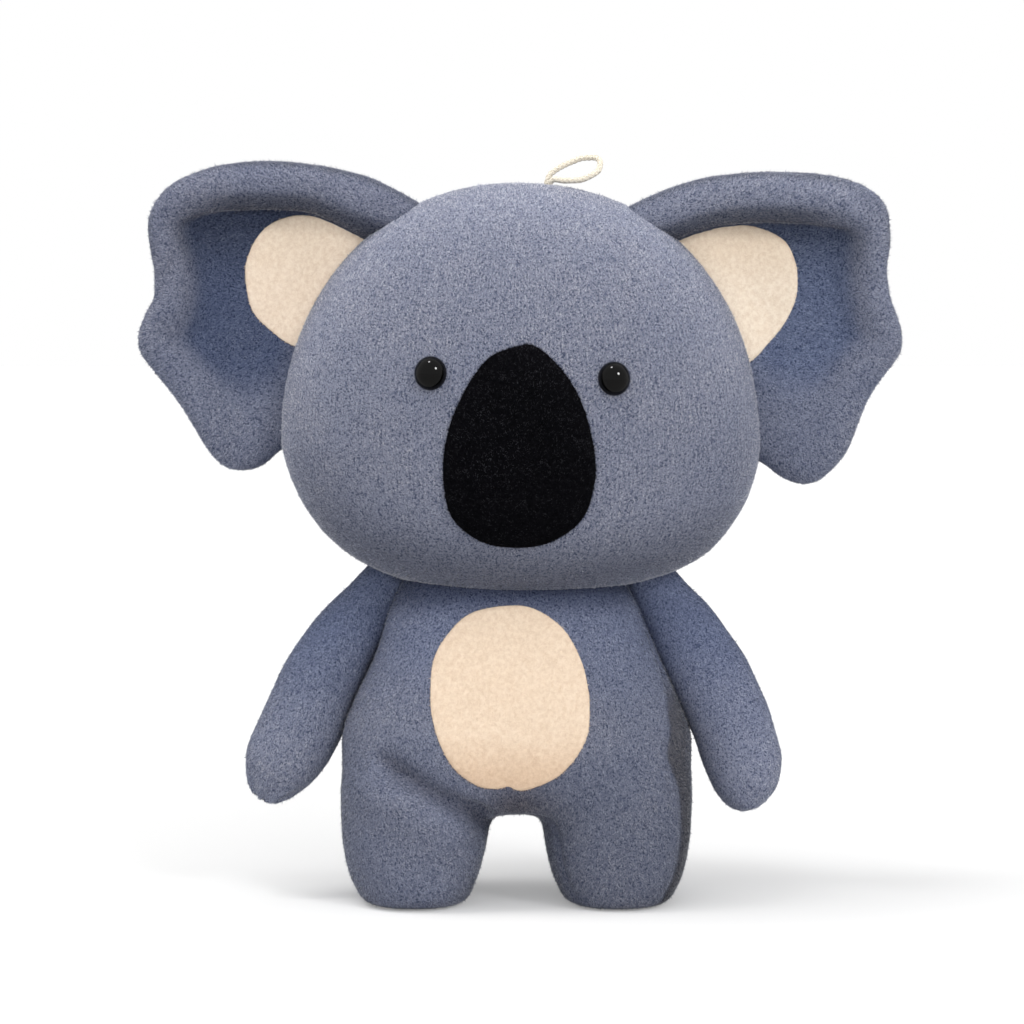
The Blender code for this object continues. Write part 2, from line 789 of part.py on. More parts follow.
def make_eye(side, word, panel, stuffing, skin_at):
    x = side * eye_spacing / 2
    y, normal = skin_at(x, eye_z)
    turn = Vector((0, 0, 1)).rotation_difference(normal).to_matrix().to_4x4()
    place = Matrix.Translation((x, y, eye_z)) @ turn
    mesh_object(f"eye_{word}", eye_form(), EYE_BLACK, place @ Matrix.Translation((0, 0, eye_lift)))
    seat = Matrix.Translation((0, 0, -washer_depth))
    mesh_object(f"eye_washer_{word}", washer_form(), WASHER_WHITE, place @ seat)
    hole = eye_stem_diameter / 2 + seam_gap
    boolean(panel, drum(f"eye_{word}_hole", hole, -overrun, overrun, place), "DIFFERENCE")
    pocket = washer_diameter / 2 + pocket_clearance
    depth = eye_stem_length + pocket_clearance
    boolean(stuffing, drum(f"eye_{word}_pocket", pocket, -depth, overrun, place), "DIFFERENCE")


# Hanging loop


def smooth_route(points, count):
    """Points at even steps along a smooth curve through the route's own points."""
    dense = []
    padded = [2 * points[0] - points[1], *points, 2 * points[-1] - points[-2]]
    for a, b, c, d in zip(padded, padded[1:], padded[2:], padded[3:]):
        for k in range(loop_fine_count):
            t = k / loop_fine_count
            dense.append(
                0.5 * (2 * b + (c - a) * t + (2 * a - 5 * b + 4 * c - d) * t**2 + (3 * b - a - 3 * c + d) * t**3)
            )
    dense.append(points[-1])
    lengths = [0.0]
    for a, b in zip(dense, dense[1:]):
        lengths.append(lengths[-1] + (b - a).length)
    found = []
    for k in range(count):
        wanted = lengths[-1] * k / (count - 1)
        i = next((j for j, length in enumerate(lengths) if length >= wanted), len(dense) - 1)
        before = max(i - 1, 0)
        span = lengths[i] - lengths[before]
        found.append(dense[i] if span == 0 else dense[before].lerp(dense[i], (wanted - lengths[before]) / span))
    return found


def make_loop():
    curve = bpy.data.curves.new("hanging_loop", "CURVE")
    curve.dimensions = "3D"
    curve.bevel_depth = loop_diameter / 2
    curve.bevel_resolution = 2
    curve.use_fill_caps = True
    spline = curve.splines.new("POLY")
    points = smooth_route([Vector(point) for point in loop_route], loop_point_count)
    spline.points.add(len(points) - 1)
    for place, point in zip(spline.points, points):
        place.co = (*point, 1)
    curve.materials.append(material_named(CORD_CREAM))
    bpy.context.scene.collection.objects.link(bpy.data.objects.new("hanging_loop", curve))


def main():
    for obj in list(bpy.data.objects):
        bpy.data.objects.remove(obj, do_unlink=True)
    head_panel, head_stuffing = make_head()
    make_body()
    arm_room = hide_cutter(mesh_object("arm_room", closed_form(head_rings(-turning_clearance)), FILLING_WHITE))
    for side, word, drop in ((1, "left", ear_left_drop), (-1, "right", ear_right_drop)):
        make_arm(side, word, arm_room)
        make_ear(side, word, drop)
    make_belly_patch()
    skin_at = fine_head_skin()
    make_nose(skin_at)
    for side, word in ((1, "left"), (-1, "right")):
        make_eye(side, word, head_panel, head_stuffing, skin_at)
    make_loop()


main()
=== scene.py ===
"""Plush koala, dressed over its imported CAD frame: stuffed plush forms with a short knitted pile, felt patches,
a padded nose, glossy eyes and a braided hanging loop. Lengths are in metres, the toy faces -Y and stands on Z = 0."""

import math

import bmesh
import bpy
import numpy as np
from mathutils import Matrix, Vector
from mathutils.bvhtree import BVHTree
from mathutils.kdtree import KDTree


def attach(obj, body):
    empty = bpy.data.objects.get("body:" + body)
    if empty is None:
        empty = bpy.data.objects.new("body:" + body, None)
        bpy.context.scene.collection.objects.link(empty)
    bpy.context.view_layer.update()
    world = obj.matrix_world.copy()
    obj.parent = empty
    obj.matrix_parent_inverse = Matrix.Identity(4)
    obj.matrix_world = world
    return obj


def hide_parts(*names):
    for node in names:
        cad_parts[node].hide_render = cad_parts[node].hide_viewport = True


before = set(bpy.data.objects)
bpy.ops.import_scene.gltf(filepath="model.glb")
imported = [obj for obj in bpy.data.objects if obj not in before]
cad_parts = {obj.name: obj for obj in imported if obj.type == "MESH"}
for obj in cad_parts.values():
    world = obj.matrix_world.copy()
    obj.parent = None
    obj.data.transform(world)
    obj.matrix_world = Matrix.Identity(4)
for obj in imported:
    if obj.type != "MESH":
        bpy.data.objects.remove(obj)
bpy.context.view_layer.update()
MM = 0.001
WHITE = (1.0, 1.0, 1.0)
SIDES = ((1, "left"), (-1, "right"))  # the toy's own, with the sign of X

# --- camera and light

PHOTO_MM = 1 / 3  # one photograph pixel at the toy's middle, in mm
PHOTO_PIXELS = 1024
SENSOR_MM = 36
CAMERA_DISTANCE = 1.2
CAMERA_RISE = math.radians(4.0)
VIEW_X, VIEW_Z = -0.0027, 0.1295
# Each sun's name, where it stands, power, angle in degrees and colour
LAMPS = (
    ("key", (-0.58, -0.1, 0.95), 0.95, 26, (1.0, 0.99, 0.97)),
    ("front_soft", (-0.15, -0.85, 0.45), 0.95, 70, WHITE),
    ("top", (-0.12, -0.1, 1.0), 0.5, 60, WHITE),
    ("side", (0.95, -0.35, 0.55), 0.65, 70, WHITE),
    ("front", (0.5, -0.66, 0.54), 0.6, 13, WHITE),
    ("high", (-0.17, -0.16, 0.97), 0.34, 10, WHITE),
    ("glint_front", (0.5, -0.66, 0.54), 2.6, 13, WHITE),
    ("glint_high", (-0.17, -0.16, 0.97), 1.0, 10, WHITE),
)


def added(name, data):
    """A new object of the scene."""
    obj = bpy.data.objects.new(name, data)
    bpy.context.scene.collection.objects.link(obj)
    return obj


def look_at(obj, target):
    obj.rotation_euler = (Vector(target) - obj.location).to_track_quat("-Z", "Y").to_euler()


camera_data = bpy.data.cameras.new("camera")
camera_data.sensor_width = SENSOR_MM
camera_data.lens = SENSOR_MM * CAMERA_DISTANCE / (PHOTO_PIXELS * PHOTO_MM * MM)
camera_data.clip_start, camera_data.clip_end = 0.05, 20
camera = added("camera", camera_data)
camera.location = (VIEW_X, -CAMERA_DISTANCE * math.cos(CAMERA_RISE),
                   VIEW_Z + CAMERA_DISTANCE * math.sin(CAMERA_RISE))
look_at(camera, (VIEW_X, 0, VIEW_Z))
bpy.context.scene.camera = camera
bpy.context.scene.view_settings.view_transform = "Standard"

for name, place, power, angle, colour in LAMPS:
    sun = bpy.data.lights.new(name, "SUN")
    sun.energy, sun.color, sun.angle = power, colour, math.radians(angle)
    light = added(name, sun)
    light.location = place
    look_at(light, (0, 0, 0))
    if name.startswith("glint"):  # these are seen in glossy surfaces alone, and the broad ones never are
        light.visible_diffuse = False
    else:
        light.visible_glossy = False

# --- node helpers


def new_material(name):
    material = bpy.data.materials.new(name)
    material.use_nodes = True
    return material, material.node_tree, material.node_tree.nodes["Principled BSDF"]


def feed(made, inputs):
    """Sets a node's inputs, by name or number, from numbers, colours or the outputs of other nodes."""
    for key, value in inputs.items():
        if isinstance(value, bpy.types.NodeSocket):
            made.id_data.links.new(value, made.inputs[key])
        else:
            made.inputs[key].default_value = (*value, 1) if isinstance(value, tuple) else value
    return made


def node(tree, kind, inputs={}, **settings):
    made = tree.nodes.new("ShaderNode" + kind)
    for key, value in settings.items():
        setattr(made, key, value)
    return feed(made, inputs)


def ramp(tree, factor, *stops):
    made = node(tree, "ValToRGB", {"Fac": factor})
    elements = made.color_ramp.elements
    while len(elements) < len(stops):
        elements.new(0.5)
    for element, (place, colour) in zip(elements, stops):
        element.position = place
        element.color = (*colour, 1)
    return made.outputs["Color"]


def noise(tree, scale, detail, roughness):
    place = node(tree, "TexCoord").outputs["Object"]
    inputs = {"Scale": scale, "Detail": detail, "Roughness": roughness, "Vector": place}
    return node(tree, "TexNoise", inputs).outputs["Fac"]


def attribute(tree, name, output):
    """An attribute of the mesh's own points."""
    return node(tree, "Attribute", attribute_name=name).outputs[output]


def math_node(tree, operation, *values):
    return node(tree, "Math", dict(enumerate(values)), operation=operation).outputs[0]


def multiplied(tree, a, b):
    """The product of two colours."""
    return node(tree, "Mix", {"Factor": 1.0, 6: a, 7: b}, data_type="RGBA", blend_type="MULTIPLY").outputs[2]


def shine(shader, roughness, sheen=0.0, sheen_roughness=0.5, sheen_tint=WHITE, level=0.5):
    feed(shader, {"Roughness": roughness, "Sheen Weight": sheen, "Sheen Roughness": sheen_roughness,
                  "Sheen Tint": sheen_tint, "Specular IOR Level": level})


def bump(tree, shader, height, strength, distance):
    made = node(tree, "Bump", {"Strength": strength, "Distance": distance, "Height": height})
    feed(shader, {"Normal": made.outputs["Normal"]})


# --- materials


def pile_material(name, dark, mid, light, mottle, sheen, sheen_tint, level=0.15):
    """Pile fibres: the mesh attribute "pile" says how light each is, painted shade in gaps and pits included, the
    attribute "tint" colours them, with painted light and shade on some skins, and the colour drifts in patches.
    """
    material, tree, shader = new_material(name)
    base = ramp(tree, attribute(tree, "pile", "Fac"), (0.0, dark), (0.5, mid), (1.0, light))
    drift = ramp(tree, noise(tree, 38.0, 3.0, 0.55), (0.36, mottle[0]), (0.64, mottle[1]))
    colour = multiplied(tree, multiplied(tree, base, drift), attribute(tree, "tint", "Color"))
    feed(shader, {"Base Color": colour})
    shine(shader, 0.85, sheen, 0.45, sheen_tint, level)
    return material


def ground_material(name, dark, light, scale, span=(0.35, 0.65)):
    """The knitted ground under the pile, seen between its fibres."""
    material, tree, shader = new_material(name)
    fine = noise(tree, scale, 3.0, 0.6)
    colour = ramp(tree, fine, (span[0], dark), (span[1], light))
    feed(shader, {"Base Color": multiplied(tree, colour, attribute(tree, "tint", "Color"))})
    shine(shader, 0.95, level=0.05)
    bump(tree, shader, fine, 0.5, 0.0006)
    return material


def gloss_material(name, colour, roughness, level):
    material, tree, shader = new_material(name)
    lighter = tuple(c * 1.3 for c in colour)
    feed(shader, {"Base Color": ramp(tree, noise(tree, 160.0, 2.0, 0.5), (0.3, colour), (0.7, lighter)),
                  "Roughness": roughness, "Specular IOR Level": level})
    bump(tree, shader, noise(tree, 240.0, 2.0, 0.5), 0.02, 0.0002)
    return material


def cord_material():
    """Braided cotton, with painted shade that darkens it between the strands, where its surface curves in, and fine
    hairs of lighter fibre.
    """
    material, tree, shader = new_material("loop_cotton")
    fine = noise(tree, 2200.0, 4.0, 0.65)
    hollow = node(tree, "NewGeometry").outputs["Pointiness"]
    # painted shade: the cord is darker where its surface curves in between the strands
    crevice_painted_shade = ramp(tree, hollow, (0.42, (0.6, 0.51, 0.38)), (0.52, (0.88, 0.82, 0.7)))
    hairs = ramp(tree, fine, (0.3, (0.88, 0.86, 0.82)), (0.7, WHITE))
    feed(shader, {"Base Color": multiplied(tree, crevice_painted_shade, hairs)})
    shine(shader, 0.8, 0.15, 0.5, (1.0, 0.97, 0.9), 0.2)
    bump(tree, shader, fine, 0.4, 0.0003)
    return material


BLUE_PILE = pile_material(
    "pile_blue", (0.048, 0.062, 0.126), (0.236, 0.252, 0.333), (0.38, 0.396, 0.468),
    ((0.86, 0.89, 0.95), (1.09, 1.07, 1.04)), 0.55, (0.9, 0.93, 1.0),
)
BLUE_GROUND = ground_material("ground_blue", (0.042, 0.054, 0.096), (0.168, 0.184, 0.252), 1500.0, (0.38, 0.52))
BLACK_PILE = pile_material(
    "pile_black", (0.0006, 0.0006, 0.001), (0.0022, 0.0022, 0.0034), (0.04, 0.04, 0.046),
    ((0.7, 0.7, 0.7), (1.3, 1.3, 1.3)), 0.0, WHITE, 0.02,
)
BLACK_GROUND = ground_material("ground_black", (0.0008, 0.0008, 0.0014), (0.002, 0.002, 0.003), 900.0)
CREAM_PILE = pile_material(
    "pile_cream", (0.74, 0.58, 0.43), (0.88, 0.73, 0.575), (0.95, 0.82, 0.68),
    ((0.965, 0.95, 0.93), (1.02, 1.02, 1.02)), 0.12, (1.0, 0.95, 0.9),
)
CREAM_GROUND = ground_material("ground_cream", (0.76, 0.6, 0.45), (0.88, 0.73, 0.57), 700.0)
EYE_GLOSS = gloss_material("eye_gloss", (0.0014, 0.0013, 0.0013), 0.05, 0.15)
WASHER_PLASTIC = gloss_material("washer_plastic", (0.72, 0.72, 0.69), 0.45, 0.5)
LOOP_CORD = cord_material()

# --- mesh helpers


def mesh_from(name, points, faces, material):
    """An object from arrays of points and of faces with the same number of corners."""
    faces = np.asarray(faces, np.int32)
    mesh = bpy.data.meshes.new(name)
    mesh.vertices.add(len(points))
    mesh.vertices.foreach_set("co", np.asarray(points, np.float32).ravel())
    mesh.loops.add(faces.size)
    mesh.loops.foreach_set("vertex_index", faces.ravel())
    mesh.polygons.add(len(faces))
    mesh.polygons.foreach_set("loop_start", np.arange(0, faces.size, faces.shape[1], dtype=np.int32))
    mesh.update(calc_edges=True)
    mesh.polygons.foreach_set("use_smooth", np.full(len(faces), True))
    mesh.materials.append(material)
    return added(name, mesh)


def read(items, key, kind, width):
    found = np.empty(len(items) * width, kind)
    items.foreach_get(key, found)
    return found.reshape(-1, width)


def points_of(obj):
    return read(obj.data.vertices, "co", np.float32, 3).astype(float)


def vertex_normals(obj):
    return read(obj.data.vertices, "normal", np.float32, 3).astype(float)


def triangles_of(obj):
    obj.data.calc_loop_triangles()
    return read(obj.data.loop_triangles, "vertices", np.int32, 3)


def set_points(obj, points):
    obj.data.vertices.foreach_set("co", np.asarray(points, np.float32).ravel())
    obj.data.update()


def set_tint(obj, places, normals, tint, copies=1):
    """Stores the tint of these places, painted light and shade included, on the object's points, with as many points in
    a row for each place.
    """
    colour = np.ones((len(places), 4))
    if tint is not None:
        colour[:, :3] = tint(places, normals)
    stored = obj.data.attributes.new("tint", "FLOAT_COLOR", "POINT")
    stored.data.foreach_set("color", np.repeat(colour, copies, 0).astype(np.float32).ravel())


def tufts(points, size, seed):
    """A number from -1 to 1 for each point, the same for all the points of one small cell."""
    cell = np.floor(points / size).astype(np.int64)
    mixed = (cell[:, 0] * 73856093) ^ (cell[:, 1] * 19349663) ^ (cell[:, 2] * 83492791) ^ (seed * 2654435761)
    return np.random.default_rng(seed).uniform(-1, 1, 65536)[mixed % 65536]


def apply_modifiers(obj):
    graph = bpy.context.evaluated_depsgraph_get()
    mesh = bpy.data.meshes.new_from_object(obj.evaluated_get(graph))
    obj.modifiers.clear()
    old = obj.data
    obj.data = mesh
    bpy.data.meshes.remove(old)
    return obj


def grid_faces(rows, columns):
    """Quads between rings of points, ring by ring."""
    first = np.arange((rows - 1) * columns).reshape(-1, columns)
    after = np.roll(first, -1, 1)
    return np.stack([first, after, after + columns, first + columns], -1).reshape(-1, 4)


def fans(columns, *rings):
    """Triangles from each ring of points, given by its first one, to its tip."""
    return [(start + i, start + (i + 1) % columns, tip) for i in range(columns) for start, tip in rings]


def with_faces(obj, more, smooth=False, weld=0.0):
    """Adds faces to a mesh and turns all of them outward."""
    bm = bmesh.new()
    bm.from_mesh(obj.data)
    bm.verts.ensure_lookup_table()
    for corners in more:
        bm.faces.new([bm.verts[i] for i in corners]).smooth = smooth
    if weld:
        bmesh.ops.remove_doubles(bm, verts=bm.verts, dist=weld)
    bmesh.ops.recalc_face_normals(bm, faces=bm.faces)
    bm.to_mesh(obj.data)
    bm.free()
    return obj


def tube(name, points, columns, material):
    """Rings of points as a tube with flat ends."""
    count = len(points)
    ends = [range(columns)[::-1], range(count - columns, count)]
    return with_faces(mesh_from(name, points, grid_faces(count // columns, columns), material), ends)


def ease(x, low, high):
    t = np.clip((x - low) / (high - low), 0, 1)
    return t * t * (3 - 2 * t)


def ease_mm(x, low, high):
    """A smooth step of a length in metres, between two in mm."""
    return ease(x, low * MM, high * MM)


def bell(x, width, z=0.0, height=1.0):
    return np.exp(-((x / width) ** 2) - (z / height) ** 2)


def unit(v):
    return v / np.maximum(np.linalg.norm(v, axis=-1, keepdims=True), 1e-12)


def travelled(line):
    """The way along a line at each of its points."""
    return np.concatenate([[0], np.cumsum(np.linalg.norm(np.diff(line, axis=0), axis=1))])


def lumps(points, scale, seed):
    """A smooth random value from -1 to 1 at each point, from a few plane waves."""
    rng = np.random.default_rng(seed)
    total = np.zeros(len(points))
    for _ in range(9):
        direction = unit(rng.normal(size=3))
        wave = scale * rng.uniform(0.6, 1.6)
        total += np.sin(points @ direction * (2 * np.pi / wave) + rng.uniform(0, 2 * np.pi))
    return total / 4.5


def joined(objects):
    """One mesh object of several, as the first of them."""
    merged = bmesh.new()
    for obj in objects:
        merged.from_mesh(obj.data)
    merged.to_mesh(objects[0].data)
    merged.free()
    for obj in objects[1:]:
        bpy.data.objects.remove(obj)
    return objects[0]


def voxel_skin(obj, size):
    """Remeshes a form, or several that overlap, as one even skin."""
    remesh = obj.modifiers.new("voxels", "REMESH")
    remesh.mode, remesh.voxel_size, remesh.use_smooth_shade = "VOXEL", size, True
    return apply_modifiers(obj)


def relax(obj, rounds, weight=None):
    """Evens out a skin: each point moves half way to the mean of its neighbours, times its weight."""
    points = points_of(obj)
    one, other = read(obj.data.edges, "vertices", np.int32, 2).T
    count = np.bincount(np.concatenate([one, other]), minlength=len(points))[:, None]
    for _ in range(rounds):
        total = np.zeros_like(points)
        for k in range(3):
            total[:, k] = np.bincount(one, points[other, k], len(points))
            total[:, k] += np.bincount(other, points[one, k], len(points))
        step = (total / np.maximum(count, 1) - points) * 0.5
        points = points + (step if weight is None else step * weight[:, None])
    set_points(obj, points)


def spline(places, values, wanted):
    """Smooth values at the wanted places, through the given ones, without overshoot."""
    places, values = np.asarray(places, float), np.asarray(values, float)
    gaps = np.diff(places)
    slopes = np.diff(values) / gaps
    before, after = slopes[:-1], slopes[1:]
    tangent = np.zeros(len(places))
    tangent[1:-1] = np.where(before * after > 0, 2 * before * after / (before + after + 1e-30), 0)
    tangent[0], tangent[-1] = slopes[0], slopes[-1]
    k = np.clip(np.searchsorted(places, wanted) - 1, 0, len(gaps) - 1)
    t = np.clip((wanted - places[k]) / gaps[k], 0, 1)
    a, b, c = 2 * t**3 - 3 * t**2 + 1, t**3 - 2 * t**2 + t, t**3 - t**2
    return a * values[k] + b * gaps[k] * tangent[k] + (1 - a) * values[k + 1] + c * gaps[k] * tangent[k + 1]


def even_ring(outline, count):
    """A closed smooth line through the outline's points, as evenly spaced points."""
    given = np.asarray(outline, float)
    dense = []
    for i in range(len(given)):
        p, q, r, s = (given[(i + k) % len(given)] for k in (-1, 0, 1, 2))
        for t in np.arange(12) / 12:
            curve = (2 * p - 5 * q + 4 * r - s) * t**2 + (3 * q - p - 3 * r + s) * t**3
            dense.append(0.5 * (2 * q + (r - p) * t + curve))
    dense = np.array(dense + [dense[0]])
    run = travelled(dense)
    wanted = np.arange(count) * run[-1] / count
    return np.stack([np.interp(wanted, run, dense[:, k]) for k in range(dense.shape[1])], 1)


def line_distance(points, line, closed=False):
    """Distance of points to a line, which side of it they lie on, and how far along it, from 0 to 1."""
    line = np.asarray(line, float)
    ends = np.roll(line, -1, 0) if closed else line[1:]
    starts = line if closed else line[:-1]
    best = np.full(len(points), 1e9)
    side, along = np.zeros(len(points)), np.zeros(len(points))
    for i, (p, q) in enumerate(zip(starts, ends)):
        d = q - p
        rel = points - p
        t = np.clip(rel @ d / (d @ d), 0, 1)
        away = rel - t[:, None] * d
        distance = np.linalg.norm(away, axis=1)
        nearer = distance < best
        best = np.where(nearer, distance, best)
        side = np.where(nearer, d[0] * rel[:, 1] - d[1] * rel[:, 0], side)
        along = np.where(nearer, (i + t) / len(starts), along)
    return best, np.sign(side), along


def inside(points, ring):
    """Which points lie inside a closed ring."""
    found = np.zeros(len(points), bool)
    for (ax, az), (bx, bz) in zip(ring, np.roll(ring, -1, 0)):
        if az == bz:
            continue
        crosses = (az > points[:, 1]) != (bz > points[:, 1])
        found ^= crosses & (points[:, 0] < (bx - ax) * (points[:, 1] - az) / (bz - az) + ax)
    return found


def loft(name, levels, power, columns=96, rows=90, to_world=None):
    """A closed form through levels of (height, centre x, centre y, half width, front, back) in mm."""
    levels = np.asarray(levels, float)
    run = np.concatenate([[0], np.cumsum(np.hypot(np.diff(levels[:, 0]), np.diff(levels[:, 3])))])
    wanted = np.linspace(0, run[-1], rows)
    z, cx, cy, half, front, back = (spline(run, levels[:, k], wanted)[:, None] for k in range(6))
    angle = np.arange(columns) * 2 * np.pi / columns
    c, s = np.cos(angle)[None], np.sin(angle)[None]
    reach = (np.abs(c) ** power + np.abs(s) ** power) ** (-1 / power)
    depth = np.where(s > 0, back, front)
    grid = np.stack([cx + half * c * reach, cy + depth * s * reach, z + 0 * c], -1).reshape(-1, 3)
    if to_world is not None:
        grid = to_world(grid)
    return tube(name, grid * MM, columns, BLUE_GROUND)


CLOTH_QUALITY, CLOTH_FRAMES, CLOTH_PRESSURE = 6, 20, 4.0


def inflate(obj, voxel, cap, pinned):
    """Stuffs a skin: a coarse copy is blown up as cloth, held at its seams, and the skin's points follow it."""
    scene = bpy.context.scene
    copy = added(obj.name + "_copy", obj.data.copy())
    voxel_skin(copy, voxel)
    start = points_of(copy)
    held = copy.vertex_groups.new(name="held")
    held.add(np.nonzero(pinned(start))[0].tolist(), 1.0, "REPLACE")
    cloth = copy.modifiers.new("cloth", "CLOTH")
    cloth.settings.quality = CLOTH_QUALITY
    cloth.settings.vertex_group_mass = "held"
    cloth.settings.use_pressure = True
    cloth.settings.uniform_pressure_force = CLOTH_PRESSURE
    cloth.settings.effector_weights.gravity = 0
    cloth.point_cache.frame_start, cloth.point_cache.frame_end = 1, CLOTH_FRAMES
    for number in range(1, CLOTH_FRAMES + 1):
        scene.frame_set(number)
    apply_modifiers(copy)
    moved = points_of(copy) - start
    far = np.linalg.norm(moved, axis=1, keepdims=True)
    moved *= np.minimum(1, cap / np.maximum(far, 1e-9))
    tree = KDTree(len(start))
    for i, point in enumerate(start):
        tree.insert(point, i)
    tree.balance()
    points = points_of(obj)
    for i, point in enumerate(points):
        near = tree.find_n(point, 4)
        share = np.array([1 / (n[2] + voxel * 0.2) for n in near])
        points[i] += (moved[[n[1] for n in near]] * share[:, None]).sum(0) / share.sum()
    set_points(obj, points)
    bpy.data.objects.remove(copy)
    scene.frame_set(1)


def push(obj, amounts):
    """Moves a skin's points along their normals."""
    set_points(obj, points_of(obj) + vertex_normals(obj) * np.asarray(amounts)[:, None])


def dressed(obj, body, slot, *nodes, fill=None):
    """Attaches a piece to the body it rides on and hides the parts it stands for; what it is of and how full it is are
    not used.
    """
    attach(obj, body)
    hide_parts(*nodes)
    return obj


def stuffed(obj, body, name, fill, filling="stuffing"):
    """A casing, for its two panels and what fills them."""
    return dressed(obj, body, "plush_blue", f"{name}_front_panel", f"{name}_back_panel", f"{name}_{filling}", fill=fill)


def skin_tree(obj):
    return BVHTree.FromPolygons(points_of(obj).tolist(), triangles_of(obj).tolist())


def front_of(tree, x, z, fallback=None):
    """The skin's foremost point at x and z, with its normal."""
    place, normal, _, _ = tree.ray_cast(Vector((x, -0.4, z)), Vector((0, 1, 0)))
    return (np.array(place), np.array(normal)) if place else fallback


# --- pile

SMALL_TUFT, LARGE_TUFT, KNIT_COURSE = 0.62 * MM, 1.15 * MM, 1.45 * MM
ROOT_DEPTH, LOWEST_POINT = 0.15 * MM, 0.1 * MM
RAISED_SHARE = 0.06
UV_CELL = 2 * MM
UV_CORNERS = ((0.15, 0.15), (0.85, 0.15), (0.5, 0.85))


def pile(name, skin, body, material, slot, density, length, width, comb, lean=1.25, spread=0.5, seed=1,
         keep=None, wale=None, tone=None, tint=None, stitch_painted_shade=0.0, rough=0.45):
    """Fibres over a skin, each one thin triangle lying over at the comb's side.

    density is in fibres per square mm and lengths are in mm. comb gives each root's direction of lay, keep says which
    roots grow, wale gives the phase across the knitted ribs, stitch says how dark the painted shade in the knit's pits
    is, tone brightens or darkens and tint colours, and both may carry painted light and shade. The fibres carry the
    skin's normal, so that they shade as one nap.
    """
    rng = np.random.default_rng(seed)
    points, faces = points_of(skin), triangles_of(skin)
    normals = vertex_normals(skin)
    a, b, c = (points[faces[:, k]] for k in range(3))
    area = np.linalg.norm(np.cross(b - a, c - a), axis=1) / 2
    wanted = int(area.sum() / MM**2 * density * (1))
    which = rng.choice(len(faces), wanted, p=area / area.sum())
    u, v = rng.random(wanted), rng.random(wanted)
    over = u + v > 1
    u[over], v[over] = 1 - u[over], 1 - v[over]
    weights = np.stack([1 - u - v, u, v], 1)[:, :, None]
    root = (points[faces[which]] * weights).sum(1)
    normal = unit((normals[faces[which]] * weights).sum(1))
    if keep is not None:
        kept = keep(root, normal)
        root, normal = root[kept], normal[kept]
    count = len(root)
    lay = comb(root, normal)
    lay = lay - (lay * normal).sum(1, keepdims=True) * normal
    lay = unit(lay + 1e-9)
    side = np.cross(normal, lay)
    phase = np.full(count, np.pi / 2) if wale is None else wale(root, normal)
    ridge = np.ones(count) if wale is None else 0.5 + 0.5 * np.cos(phase)
    clump = tufts(root, SMALL_TUFT, seed) * 0.6 + tufts(root, LARGE_TUFT, seed + 7) * 0.4
    turn = rng.normal(0, spread, count) + (0 if wale is None else np.sin(phase) * 0.5) + 0.5 * clump
    lay = lay * np.cos(turn)[:, None] + side * np.sin(turn)[:, None]
    side = np.cross(normal, lay)
    raised = rng.random(count) < RAISED_SHARE
    tilt = np.clip(rng.normal(lean, 0.11, count) - raised * rng.uniform(0.3, 0.8, count), 0.35, 1.42)
    along = normal * np.cos(tilt)[:, None] + lay * np.sin(tilt)[:, None]
    reach = length * MM * rng.uniform(0.65, 1.3, count) * (0.8 + 0.2 * ridge)
    half = (width * MM / 2 * rng.uniform(0.75, 1.25, count) * 1)[:, None]
    base = root - normal * ROOT_DEPTH
    tip = base + along * reach[:, None]
    verts = np.stack([base + side * half, base - side * half, tip], 1)
    verts[:, :, 2] = np.maximum(verts[:, :, 2], LOWEST_POINT)
    obj = mesh_from(name, verts.reshape(-1, 3), np.arange(count * 3).reshape(-1, 3), material)
    shade = np.where(rng.random(count) < 0.8, rng.normal(0.58, 0.17, count), rng.normal(0.02, 0.12, count))
    depth = stitch_painted_shade(root, normal) if callable(stitch_painted_shade) else stitch_painted_shade
    if tone is not None:
        shade = shade + tone(root, normal)

    def shade_at(places):
        """A fibre's shade where it passes over a place, with painted shade in the gaps between tufts and in the knit's
        pits.
        """
        # painted shade: dark in the gaps between tufts
        tuft_gap_painted_shade = np.where(tufts(places, SMALL_TUFT, seed) < -0.55, -1.0, 0.3) + 0.35 * tufts(places, LARGE_TUFT, seed + 7)
        found = shade + rough * tuft_gap_painted_shade
        if wale is not None:
            turned = wale(places, normal)
            course = places[:, 2] * 2 * np.pi / KNIT_COURSE + np.abs(np.sin(turned / 2)) * 2.4
            # painted shade in the knit's pits
            found -= depth * (0.5 - 0.5 * np.cos(turned)) * (0.6 + 0.4 * np.cos(course)) - depth * 0.32
        return np.clip(found, 0, 1)

    low, high = shade_at(root), shade_at(root + lay * (np.sin(tilt) * reach)[:, None])
    value = np.stack([low * 0.7, low * 0.7, high * 0.82 + 0.05], 1)
    stored = obj.data.attributes.new("pile", "FLOAT", "POINT")
    stored.data.foreach_set("value", value.astype(np.float32).ravel())
    set_tint(obj, root, normal, tint, 3)
    facing = unit(np.cross(side, along))
    facing = np.where(((facing * normal).sum(1) < 0)[:, None], -facing, facing)
    soft = unit(normal * 0.78 + facing * 0.28 + along * 0.08)
    obj.data.normals_split_custom_set_from_vertices(np.repeat(soft, 3, 0).astype(np.float32))
    order = np.lexsort((np.round(root[:, 0] / UV_CELL), np.round(root[:, 2] / UV_CELL)))
    place = np.empty(count, int)
    place[order] = np.arange(count)
    across = int(math.ceil(math.sqrt(count)))
    corner = np.stack([place % across, place // across], 1)[:, None, :]
    layer = obj.data.uv_layers.new(name="OFBake")
    layer.uv.foreach_set("vector", ((corner + np.array(UV_CORNERS)) / across).astype(np.float32).ravel())
    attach(obj, body)
    return obj


def comb_way(x, y, z):
    """The same lay everywhere."""
    return lambda root, normal: np.tile((x, y, z), (len(root), 1))


